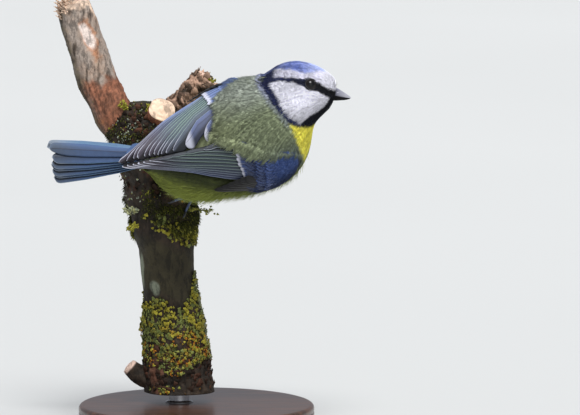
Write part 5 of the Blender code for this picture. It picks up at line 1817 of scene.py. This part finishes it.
def splinters():
    """Torn fibres round the broken end of the left limb."""
    rng = np.random.default_rng(33)
    path = np.array(LIMBS["branch_left"][0])
    along = unit(path[-1] - path[-2])
    e1, e2 = square_ways(along, np.array([0, -1.0, 0]))
    shapes = []

    def fibre(line, wide, flat, thin, thinner, tan):
        """A flat strand that thins along its line."""
        t = np.linspace(0, 1, len(line))
        two = np.stack([wide * (1 - thin * t), flat * wide * (1 - thinner * t)], 1)
        shapes.append(tube(line, two, e1, 7).paint(tint=mixed(WOOD_PALE, BARK_TAN, tan)))

    for k in range(46):
        a = rng.uniform(0, 2 * math.pi) if k % 3 else rng.normal(-0.9, 0.5)
        out = math.cos(a) * e1 + math.sin(a) * e2
        root = path[-1] + out * (5.2 * math.sqrt(rng.uniform(0.3, 1.0))) - along * 2.5
        lean = out * rng.uniform(0.0, 0.28)
        t = np.linspace(0, 1, 6)[:, None]
        line = root + (along + lean * t) * (rng.uniform(2.0, 3.8) * t)
        fibre(line, rng.uniform(0.35, 0.8), 0.4, 0.85, 0.8, rng.uniform(0, 0.7))
    torn = ((-4.8, -2.2, -0.8), (-3.2, -4.9, 0.6))
    for k in range(60):
        root = path[-2] + np.array(torn[k % 2]) + rng.normal(0, 1, 3) * np.array([0.9, 0.5, 2.3])
        way = unit(np.array([-0.65, -0.45, 0.6]) + rng.normal(0, 0.28, 3))
        line = root + way * (rng.uniform(1.4, 3.2) * np.linspace(0, 1, 5)[:, None])
        fibre(line, rng.uniform(0.5, 1.2), 0.45, 0.8, 0.7, rng.uniform(0, 0.45))
    return joined(shapes)


END_RINGS = 12


def stub_shape(name, rows, turn, amount, colours, end_colour, end_from, dome):
    """Short limb: rough bark, and an end face that is cut across."""
    def relief(points, angle, t):
        rim = smooth((1.0 - t) / 0.06)
        return (amount * rough(points, 3.2, 50, 4) + 0.35 * amount * rough(points, 1.1, 52)) * rim

    centres, rings, _, along = limb_rings(name, rows, turn, relief)
    face = []
    for k in range(1, END_RINGS):
        share = 1 - k / END_RINGS
        wave = 0.12 * np.sin(14 * share) + 0.25 * rough(rings[-1] * share, 2.0, 55)
        face.append(centres[-1] + (rings[-1] - centres[-1]) * share
                    + along[-1] * (dome * (1 - share ** 2) + wave * min(1, k / 3))[:, None])
    rings = np.concatenate([rings, np.array(face)])
    t = np.concatenate([np.linspace(0, 1, rows), np.full(END_RINGS - 1, 1.2)])[:, None]
    tint = mixed(colours[0], colours[1], smooth(0.5 + rough(rings, 4.0, 56) + 0.6 * rough(rings, 1.2, 58)))
    growth = 0.5 + 0.5 * np.sin(np.linspace(0, 30, END_RINGS))[:-1, None]
    pale = mixed(end_colour, end_colour * 0.82, 0.6 * smooth(rough(rings, 2.2, 59) + 0.4))
    pale[1 - END_RINGS:] *= (0.93 + 0.07 * growth)[..., None]
    tint = mixed(tint, pale, smooth((t - end_from) / 0.04) * np.ones((1, turn)))
    made = wrapped(rings, centres[0], rings[-1].mean(0))
    return made.paint(tint=np.vstack([tint.reshape(-1, 3), colours[0][None], pale[-1, :1]]))


def bark_finish(name, grain, gloss, strength):
    """Tint of the bark, speckled at two scales, with cracks in the bump."""
    p = Paint(name, Specular_IOR_Level=0.3)
    tint = p.attribute("tint", 1)
    fine = p.noise(p.place(), grain * 3.2, 3.0, 0.65)
    coarse = p.noise(p.stretched((1.0, 1.0, 0.35)), grain, 4.0, 0.7)
    crack = p.step(coarse, 0.38, 0.52)
    colour = p.scaled(tint, p.spread(fine, 0.6, 1.45) * p.spread(crack, 0.55, 1.1))
    return p.wear(colour, p.spread(fine, gloss, gloss + 0.25), crack * 0.6 + fine, strength, 0.0004)


def lobes(root, normal, grow, size, tint, cup, place, seed):
    """Small leafy plates: nine corners round each root at r = R (0.75 + 0.25 sin 3p),
    their rim bent up, closed by a second layer beneath."""
    rng = np.random.default_rng(seed)
    count, turn = len(root), 9
    side = np.cross(normal, grow)
    p = turns(turn)[None]
    wave = 0.78 + 0.22 * np.sin(3 * p + rng.uniform(0, 6, (count, 1)))
    r = size[:, None] * (wave + rng.uniform(-0.12, 0.12, (count, turn)))
    ahead = (r * np.cos(p) + 0.75 * size[:, None])[..., None]
    flat = grow[:, None] * ahead + side[:, None] * (r * np.sin(p))[..., None]
    bend = cup[:, None] * size[:, None] * (0.55 + 0.45 * np.cos(p))
    bend = bend + 0.16 * size[:, None] * rng.uniform(-1, 1, (count, turn))
    rim = root[:, None] + flat + normal[:, None] * bend[..., None]
    middle = root + grow * (0.7 * size)[:, None] + normal * (0.12 * cup * size)[:, None]
    middle, normal = middle[:, None], normal[:, None]
    verts = np.concatenate([rim, rim - normal * 0.16, middle, middle - normal * 0.2], 1)
    k = np.arange(turn)
    n = (k + 1) % turn
    quads = np.stack([k, k + turn, n + turn, n], 1)
    top, foot = 0 * k + 2 * turn, 0 * k + 2 * turn + 1
    tris = np.concatenate([np.stack([k, n, top], 1), np.stack([n + turn, k + turn, foot], 1)])
    spot = np.zeros((2 * turn + 2, 2))
    spot[:turn] = np.stack([np.cos(p[0]), np.sin(p[0])], 1)
    edge = np.concatenate([np.ones(2 * turn), np.zeros(2)])
    return strewn(verts, quads, tris, tint, rng.random(count), edge, place, spot)


def on_stem(angle, z, off=0.0):
    """Points on the stem's bark with their outward way."""
    base, out = stem_way(angle, z)
    return base + out * (bark_relief(base, angle, z) + off)[..., None], out


UNWRAP_HEIGHT = 130


def on_unwrap(angle, z):
    """Place on the stem's unwrap."""
    return np.stack([angle / (2 * math.pi) % 1, z / UNWRAP_HEIGHT], 1)


def moss_share(angle, z, points):
    """How mossy: a cushion under the bird that thins to the left, and the crotch."""
    a = centred(angle)
    edge = 72 + 9 * smooth((a - 0.6) / 1.5) + 3 * rough(points, 6, 60)
    top = 93.5 + 2 * rough(points, 5, 61)
    toes = 1 - smooth(2.4 * bell((a - 0.9) / 0.55, (z - 90.0) / 3.3))
    round_to = smooth((2.35 - a + 0.4 * rough(points, 5, 62)) / 0.5)
    return smooth((z - edge) / 1.5) * smooth((top - z) / 2) * round_to * toes


MOSS_TRIES = 26000
CROWN_TRIES = 5200
LICHEN_TRIES = 26500
SPRIG_LEAVES = 44


def moss_shape():
    """Moss shoots and leaf tips: slim tapers leaning out of the bark in all ways."""
    rng = np.random.default_rng(61)
    angle = rng.uniform(-math.pi, math.pi, MOSS_TRIES)
    z = rng.uniform(66, 96, MOSS_TRIES)
    base, out = on_stem(angle, z)
    thick = 0.45 + 0.55 * smooth(rough(base, 2.6, 63) * 2 + 0.6)
    keep = rng.random(MOSS_TRIES) < moss_share(angle, z, base) * thick
    top_angle = rng.uniform(0, 2 * math.pi, CROWN_TRIES)
    top_z = rng.uniform(107, 125.3, CROWN_TRIES)
    crown_base, crown_out = on_stem(top_angle, top_z)
    thick = smooth(rough(crown_base, 3.5, 64) * 3 + 0.75) * smooth((top_z - 105) / 5) * 0.95
    crown_keep = rng.random(CROWN_TRIES) < thick
    root = np.concatenate([base[keep], crown_base[crown_keep]])
    out = np.concatenate([out[keep], crown_out[crown_keep] + np.array([0, 0, 0.8])])
    place = np.concatenate([on_unwrap(angle[keep], z[keep]),
                            on_unwrap(top_angle[crown_keep], top_z[crown_keep])])
    many = len(root)
    swell = 1.3 * smooth(rough(root, 3.4, 65) + 0.5)
    way = unit(out + rng.normal(0, 0.75, (many, 3)))
    long = rng.uniform(0.7, 1.9, many)
    path = []
    for t in TUFT_STEPS:
        droop = np.array([0, 0, -0.5]) * t * t
        path.append(root + unit(out) * (swell * 0.8 - 0.5)[:, None] + (way + droop) * (long * t)[:, None])
    low = smooth(1 - (root[:, 2] - 70) / 9) * smooth((rough(root, 3.0, 66) + 0.9))
    tint = mixed(MOSS_DARK, MOSS_GREEN, rng.random(many) * smooth(swell))
    tint = mixed(tint, MOSS_BRIGHT, low * rng.random(many))
    tint = mixed(tint, MOSS_BRIGHT, (rng.random(many) < 0.06) * 0.8)
    side = unit(np.cross(way, rng.normal(0, 1, (many, 3))))
    return tufts(np.stack(path, 1), side, rng.uniform(0.25, 0.5, many),
                 tint, rng.random(many), place)


def belt_share(angle, z, points):
    """How much lichen: the belt between smooth bark and foot, its upper edge notched
    on the near side, a bright fringe under the moss and scraps elsewhere."""
    a = centred(angle)
    notch = 6.0 * bell((a - 1.35) / 0.42) - 8.0 * bell((a - 0.25) / 0.35)
    top = 52.5 - notch + 2.0 * rough(points, 5, 70) - 4.5 * bell((a - 2.9) / 0.7)
    low = 24.5 + 3.5 * rough(points, 6, 71) - 5.0 * bell((a - 1.6) / 0.5)
    belt = smooth((z - low) / 1.5) * smooth((top - z) / 1.5)
    foot = smooth((16.5 - z) / 2) * bell((a - 1.9) / 0.6) * 0.9
    rise = smooth((a - 0.6) / 1.5)
    hem = zone(z, 70 + 7 * rise, 77 + 8 * rise, 2) * smooth((2.2 - a) / 0.6) * 0.75
    return np.maximum(np.maximum(belt, foot), hem * (a > -1.2))


def lichen_shape():
    """Leafy lichen in overlapping plates that stand off the bark at their outer ends."""
    rng = np.random.default_rng(71)
    count = LICHEN_TRIES
    angle = rng.uniform(-math.pi, math.pi, count)
    z = np.where(rng.random(count) < 0.78, rng.uniform(13.0, 84, count), rng.uniform(86, 125.3, count))
    base, out = on_stem(angle, z, 0.1)
    share = belt_share(angle, z, base) * (0.3 + 0.7 * smooth(rough(base, 2.6, 72) * 2.4 + 0.6))
    speck = smooth(rough(base, 3.0, 75) * 3 + 0.45) * (0.25 + 0.75 * smooth((z - 104) / 4))
    share = np.where(z > 84, speck, share)
    keep = rng.random(count) < np.where(z > 66, share * 0.5, share * 0.62)
    root, out, angle, z = base[keep], out[keep], angle[keep], z[keep]
    many = len(root)
    spin = rng.uniform(0, 2 * math.pi, many)
    tangent = unit(np.cross(out, np.array([0, 0, 1.0])))
    up = np.cross(tangent, out)
    grow = unit(tangent * np.cos(spin)[:, None] + up * (np.sin(spin) - 0.25)[:, None])
    a = centred(angle)
    clump = rough(root, 2.4, 73)
    orange = smooth((41 - z) / 8) * smooth(clump * 3 + 0.4) * (rng.random(many) < 0.65)
    tint = mixed(mixed(LICHEN_GREEN, LICHEN_YELLOW, smooth(clump * 2 + 0.6)), LICHEN_ORANGE, orange)
    grey = smooth(1 - np.abs(a - 0.05) / 0.4) * (z < 66) + (z > 84) * 1.0
    tint = mixed(tint, LICHEN_GREY * (1 + 0.35 * (z > 100))[:, None], grey * (rng.random(many) < 0.75))
    tint = mixed(tint, LICHEN_ORANGE, (z > 84) * (z < 98) * (a < 2) * (rng.random(many) < 0.6))
    tint = mixed(tint, MOSS_DARK, (rng.random(many) < 0.22) * 0.8)
    tint = tint * rng.uniform(0.65, 1.15, many)[:, None]
    size = rng.uniform(0.38, 0.9, many) * np.where((orange > 0.3) | (z > 84), 0.62, 1.0)
    root = root + out * (0.5 * smooth(clump + 0.5))[:, None]
    place = on_unwrap(angle, z)
    return lobes(root, out, grow, size, tint, rng.uniform(0.2, 1.1, many), place, 74)


def flakes(root, out, along, low, high, size, seed):
    """Loose plates of bark: flat lobes that lie along the wood with lifted ends."""
    rng = np.random.default_rng(seed)
    many = len(root)
    grow = laid_flat(unit(along + 0.35 * rng.normal(0, 1, (many, 3))), out)
    tint = mixed(low, high, rng.random(many) ** 1.4) * rng.uniform(0.75, 1.15, many)[:, None]
    place = rng.uniform(0.1, 0.9, (many, 2))
    sizes = rng.uniform(0.55, 1.1, many) * size
    return lobes(root, out, grow, sizes, tint, rng.uniform(0.0, 0.45, many), place, seed)


def flake_shape():
    """Flaking bark on the right stub, the upper stem and the stem's foot."""
    rng = np.random.default_rng(91)
    _, rings, spoke, along = limb_rings("stub_right", 60, 60, lambda p, a, t: 0.1 + 0 * p[..., 0])
    i, j = rng.integers(6, 54, 90), rng.integers(0, 60, 90)
    made = [flakes(rings[i, j], spoke[i, j], along[i], BARK_BROWN, srgb(196, 160, 136), 1.9, 92)]
    for low, high, many, seed in ((90, 124, 520, 93), (13.5, 30, 330, 94)):
        angle, z = rng.uniform(-math.pi, math.pi, many), rng.uniform(low, high, many)
        base, out = on_stem(angle, z, 0.1)
        upward = np.array([0, 0, 1.0]) * np.ones((many, 1))
        made.append(flakes(base, out, upward, BARK_DARK * 0.8, BARK_RED * 0.55, 1.5, seed))
    return joined(made)


def sprig_shape():
    """Small leafy tufts that stand off the stem: by the foot, in the crotch, on the left."""
    rng = np.random.default_rng(81)
    spots = [((-2.8, -3.0, 84.8), (1, -0.2, -0.05), 9.6, LICHEN_GREEN),
             ((-26.6, -2.2, 122.6), (-0.5, -0.4, 0.9), 4.2, MOSS_BRIGHT),
             ((-18.5, -3.5, 123.0), (0.5, -0.5, 0.8), 3.0, MOSS_BRIGHT),
             ((-22.6, -3.0, 84.0), (-0.9, -0.5, 0.1), 5.4, LICHEN_GREY),
             ((-21.8, -2.5, 78.6), (-0.9, -0.4, -0.3), 5.2, MOSS_BRIGHT),
             ((4.5, 4.0, 133.0), (0.5, -0.5, 0.9), 2.2, MOSS_GREEN)]
    roots, ways, sizes, tints = [], [], [], []
    for at, way, spread, tint in spots:
        way = unit(np.array(way))
        for _ in range(SPRIG_LEAVES):
            t = rng.uniform(0, 1)
            roots.append(np.array(at) + way * spread * t + rng.normal(0, 0.5, 3) * (0.6 + t))
            ways.append(unit(way + rng.normal(0, 0.7, 3)))
            sizes.append(rng.uniform(0.4, 0.85))
            tints.append(mixed(tint, LICHEN_YELLOW, rng.uniform(0, 0.6)) * rng.uniform(0.8, 1.15))
    roots, ways = np.array(roots), np.array(ways)
    normal = unit(np.cross(ways, rng.normal(0, 1, ways.shape)))
    place = np.full((len(roots), 2), 0.5) + rng.uniform(-0.4, 0.4, (len(roots), 2))
    cup = rng.uniform(0.2, 0.8, len(roots))
    leaves = lobes(roots, normal, ways, np.array(sizes), np.array(tints), cup, place, 82)
    stalks = [leaves]
    for at, way, spread, tint in spots:
        line = np.array(at) + unit(np.array(way)) * (spread * np.linspace(-0.15, 1.05, 9))[:, None]
        line = line + 0.3 * np.sin(np.arange(9))[:, None] * np.array([0, 0, 1.0])
        stalk = tube(line, np.linspace(0.3, 0.1, 9), np.array([0, 1.0, 0]), 6)
        many = len(stalk.verts)
        stalks.append(stalk.paint(tint=tint * 0.6, vary=np.full(many, 0.5), along=np.full(many, 0.5),
                                  OFBake=np.full((many, 2), 0.5)))
    return joined(stalks)


def growth_finish(name, low, high):
    """Moss or lichen: the tint, paler towards the free edge, finely mottled."""
    p = Paint(name, Specular_IOR_Level=0.2)
    tint = p.attribute("tint", 1)
    along = p.attribute("along", 2)
    vary = p.attribute("vary", 2)
    fine = p.noise(p.place(), 1800.0, 2.0)
    light = p.spread(along, low, high) * p.spread(vary, 0.8, 1.2) * p.spread(fine, 0.75, 1.25)
    return p.wear(p.scaled(tint, light), p.spread(fine, 0.7, 0.9), fine, 0.3, 0.0002)


def build_perch():
    """Stem, limb, stubs and what grows on them."""
    bark = bark_finish("bark_rough", 420.0, 0.6, 0.6)
    weathered = bark_finish("bark_weathered", 520.0, 0.62, 0.45)
    wood = bark_finish("wood_cut", 260.0, 0.6, 0.15)
    piece("stem", stem_shape(), bark, ("perch_stem",))
    piece("branch_left", branch_left_shape(), weathered, ("perch_branch_left",))
    piece("branch_splinters", splinters(), wood)
    cut = stub_shape("stub_cut", 60, 72, 0.35, (WOOD_RIM * 0.7, WOOD_RIM), WOOD_PALE * 1.05, 0.93, 0.35)
    piece("stub_cut", cut, wood, ("perch_stub_cut",))
    tones = (BARK_BROWN * 0.8, srgb(178, 144, 122))
    right = stub_shape("stub_right", 110, 96, 1.9, tones, srgb(226, 192, 170), 0.9, 0.9)
    piece("stub_right", right, weathered, ("perch_stub_right",))
    low = stub_shape("stub_low", 50, 60, 0.45, (BARK_DARK, BARK_BROWN), srgb(226, 196, 178), 0.9, 0.4)
    piece("stub_low", low, bark, ("perch_stub_low",))
    moss = growth_finish("moss", 0.55, 1.35)
    lichen = growth_finish("lichen", 0.7, 1.2)
    piece("moss", moss_shape(), moss)
    piece("lichen", lichen_shape(), lichen)
    piece("sprigs", sprig_shape(), lichen)
    piece("bark_flakes", flake_shape(), growth_finish("bark_flake", 0.7, 1.1))


# Stand

BASE_RADIUS = 46.0
BASE_HEIGHT = 8.0
ROD_RADIUS = 4.0
WALNUT = srgb(92, 58, 38)
WALNUT_DARK = srgb(50, 30, 20)


def base_shape():
    """Turned disc: a quarter round at the upper edge, a small one at the foot and a
    shallow bead under the top."""
    a = np.linspace(0, math.pi / 2, 12)
    foot = np.stack([BASE_RADIUS - 0.8 + 0.8 * np.sin(a), 0.8 - 0.8 * np.cos(a)], 1)
    side = np.linspace(0.9, BASE_HEIGHT - 1.7, 24)
    bead = np.stack([BASE_RADIUS - 0.35 * bell((side - 5.2) / 0.35), side], 1)
    edge = np.stack([BASE_RADIUS - 1.6 + 1.6 * np.cos(a), BASE_HEIGHT - 1.6 + 1.6 * np.sin(a)], 1)
    rows = np.vstack([foot, bead, edge, [(BASE_RADIUS * k / 8, BASE_HEIGHT) for k in range(7, 0, -1)]])
    angle = turns(144)
    rings = np.stack([rows[:, :1] * np.cos(angle), rows[:, :1] * np.sin(angle), rows[:, 1:] + 0 * angle], -1)
    return wrapped(rings, (0, 0, 0), (0, 0, BASE_HEIGHT))


def rod_shape():
    """Round rod between base and stem with a flared foot ring."""
    low, high = BASE_HEIGHT, STEM[0, 0] + 0.4
    z = np.linspace(low, high, 20)
    radius = ROD_RADIUS + 1.4 * np.exp(-((z - low) / 0.5) ** 4)
    path = np.stack([np.full(20, STEM[0, 1]), np.full(20, STEM_Y), z], 1)
    return tube(path, radius, (1, 0, 0), 48)


def walnut_finish():
    """Growth bands: noise bent along x, fine pores drawn out along the grain."""
    p = Paint("walnut", Coat_Weight=0.35, Coat_Roughness=0.2)
    band = p.noise(p.stretched((9.0, 90.0, 60.0)), 1.0, 4.0, 0.6)
    lines = p.math("SINE", band * 42.0) * 0.5 + 0.5
    pores = p.noise(p.stretched((160.0, 2600.0, 2600.0)), 1.0, 2.0)
    colour = p.blend(lines * 0.6 + band * 0.4, WALNUT_DARK, WALNUT)
    colour = p.scaled(colour, p.spread(p.step(pores, 0.35, 0.6), 0.6, 1.1))
    return p.wear(colour, p.spread(pores, 0.3, 0.45), pores, 0.2, 0.0001)


def steel_finish():
    """Brushed round its length: fine rings in roughness and bump."""
    p = Paint("brushed_steel", Metallic=1.0)
    brush = p.noise(p.stretched((300.0, 300.0, 9000.0)), 1.0, 2.0)
    colour = p.blend(brush, srgb(150, 152, 156), srgb(198, 200, 204))
    return p.wear(colour, p.spread(brush, 0.22, 0.4), brush, 0.1, 0.00005)


def build_stand():
    """Base and rod."""
    piece("base", base_shape(), walnut_finish(), ("stand_base",))
    piece("rod", rod_shape(), steel_finish(), ("stand_rod",))


# Feather finishes, floor, light and camera


def vane_finish(name, gloss, edge_width, edge_strength, barb, inner):
    """Vane by the distances it carries: a thin pale outer edge that turns white near
    the tip, a dark shaft, shade where the next feather covers it, and barbs as slanted
    lines over the tint."""
    p = Paint(name, Sheen_Weight=0.1, Specular_IOR_Level=0.3)
    tint = p.attribute("tint", 1)
    rim = p.attribute("rim", 1)
    tips = p.attribute("tips", 0)
    white = p.attribute("tips", 3)
    edge, tip, shaft = p.parts(p.attribute("web", 1))
    wander = p.noise(p.place(), 700.0, 2.0)
    side = p.math("ABSOLUTE", shaft)
    barbs = p.math("SINE", (tip * 0.9 - side * 1.1 + wander * 1.2) * barb) * 0.5 + 0.5
    colour = p.scaled(tint, p.spread(barbs, 0.86, 1.1) * p.spread(wander, 0.8, 1.2))
    colour = p.scaled(colour, p.spread(p.step(edge, edge_width, edge_width + 2.4), 1.12, inner))
    covered = p.step(edge / p.attribute("seam", 2), 0.58, 0.94)
    colour = p.scaled(colour, p.spread(covered, 1.0, 0.26))
    near_tip = p.step(tip, 6.0, 3.0) * p.step(white, 0.1, 0.3)
    rim_now = p.blend(near_tip, rim, tips)
    width = near_tip * (edge_width * 0.2) + edge_width
    ragged = edge + (wander - 0.5) * (edge_width * 0.6)
    colour = p.blend(p.step(ragged / width, 1.0, 0.4) * edge_strength, colour, rim_now)
    end = (tip + (wander - 0.5) * 0.3) / p.math("MAXIMUM", white, 0.05)
    colour = p.blend(p.step(end, 1.2, 0.5) * p.step(white, 0.1, 0.25), colour, tips)
    quill = p.step(side, 0.16, 0.07) * p.step(tip, 0.4, 1.2)
    colour = p.blend(quill * 0.7, colour, srgb(30, 28, 36))
    return p.wear(colour, p.spread(wander, gloss, gloss + 0.15), barbs * 0.5 + quill, 0.25, 0.0001)


def build_feathers():
    """Flight feathers, coverts and tail."""
    flight_look = vane_finish("flight_vane", 0.42, 0.32, 0.85, 26.0, 0.6)
    cover_look = vane_finish("covert_vane", 0.5, 0.3, 0.3, 30.0, 0.6)
    tail_look = vane_finish("tail_vane", 0.42, 0.26, 0.8, 24.0, 0.6)
    soft_look = plumage_finish("shoulder_coat", 0.05, 0.7, 1.3, 0.7)
    # The sheet under the coverts is painted deep blue to near black as the shade between them.
    under = Paint("shade_under_coverts", Roughness=0.8)
    painted_shade = under.noise(under.place(), 900.0, 2.0)
    covert_shade_look = under.wear(under.blend(painted_shade, COVERT_DEEP * 0.5, COVERT_DEEP))
    for name, wing in WINGS.items():
        flight, cover = wing_shapes(wing)
        piece("flight_feathers_" + name, joined(flight), flight_look, ("wing_" + name,))
        piece("covert_feathers_" + name, joined(cover), cover_look)
        piece("covert_bed_" + name, wing_pad(wing), covert_shade_look)
        piece("coat_shoulder_" + name, shoulder_shape(wing), soft_look)
    piece("tail_feathers", joined(tail_shapes()), tail_look, ("tail",))
    piece("tail_coverts", joined(tail_covers()), cover_look)


FLOOR_SIZE = 14.0


def build_stage():
    """Pale floor, one broad soft sun from the upper left, a weak one opposite."""
    mesh = bpy.data.meshes.new("floor")
    half = FLOOR_SIZE / 2
    level = -0.00002
    corners = [(-half, -half, level), (half, -half, level), (half, half, level), (-half, half, level)]
    mesh.from_pydata(corners, [], [(0, 1, 2, 3)])
    floor = bpy.data.objects.new("floor", mesh)
    bpy.context.scene.collection.objects.link(floor)
    paint = Paint("floor_pale", Roughness=0.9, Specular_IOR_Level=0.1)
    soft = paint.noise(paint.place(), 1.2, 2.0)
    mesh.materials.append(paint.wear(paint.blend(soft, srgb(204, 205, 203), srgb(212, 213, 211))))
    for name, power, angle, turn in (("key", 3.15, 0.5, (28, 6)), ("fill", 0.45, 0.9, (64, 30))):
        light = bpy.data.lights.new(name, "SUN")
        light.energy = power
        light.angle = angle
        ob = bpy.data.objects.new(name, light)
        ob.rotation_euler = (math.radians(turn[0]), math.radians(turn[1]), 0)
        bpy.context.scene.collection.objects.link(ob)
    world = bpy.data.worlds.new("studio")
    world.use_nodes = True
    world.node_tree.nodes["Background"].inputs["Color"].default_value = (0.86, 0.9, 1.0, 1)
    world.node_tree.nodes["Background"].inputs["Strength"].default_value = 0.42
    bpy.context.scene.world = world
    bpy.context.scene.view_settings.view_transform = "Standard"


def build_camera():
    """Camera on the line through the aim point that looks along +Y and down."""
    tilt = math.radians(CAMERA_TILT)
    ahead = np.array([0, math.cos(tilt), -math.sin(tilt)])
    up = np.array([0, math.sin(tilt), math.cos(tilt)])
    data = bpy.data.cameras.new("camera")
    data.sensor_width = SENSOR
    data.lens = SENSOR * CAMERA_DISTANCE * PIXELS_PER_MM / PICTURE_WIDTH
    data.clip_start, data.clip_end = 0.01, 100.0
    camera = bpy.data.objects.new("camera", data)
    spot = (AIM - ahead * CAMERA_DISTANCE) * MM
    columns = np.stack([(1, 0, 0), up, -ahead], 1)
    camera.matrix_world = Matrix.Translation(spot.tolist()) @ Matrix(columns.tolist()).to_4x4()
    bpy.context.scene.collection.objects.link(camera)
    bpy.context.scene.camera = camera


build_camera()
build_stage()
build_coat()
build_feathers()
build_head_parts()
build_legs()
build_perch()
build_stand()
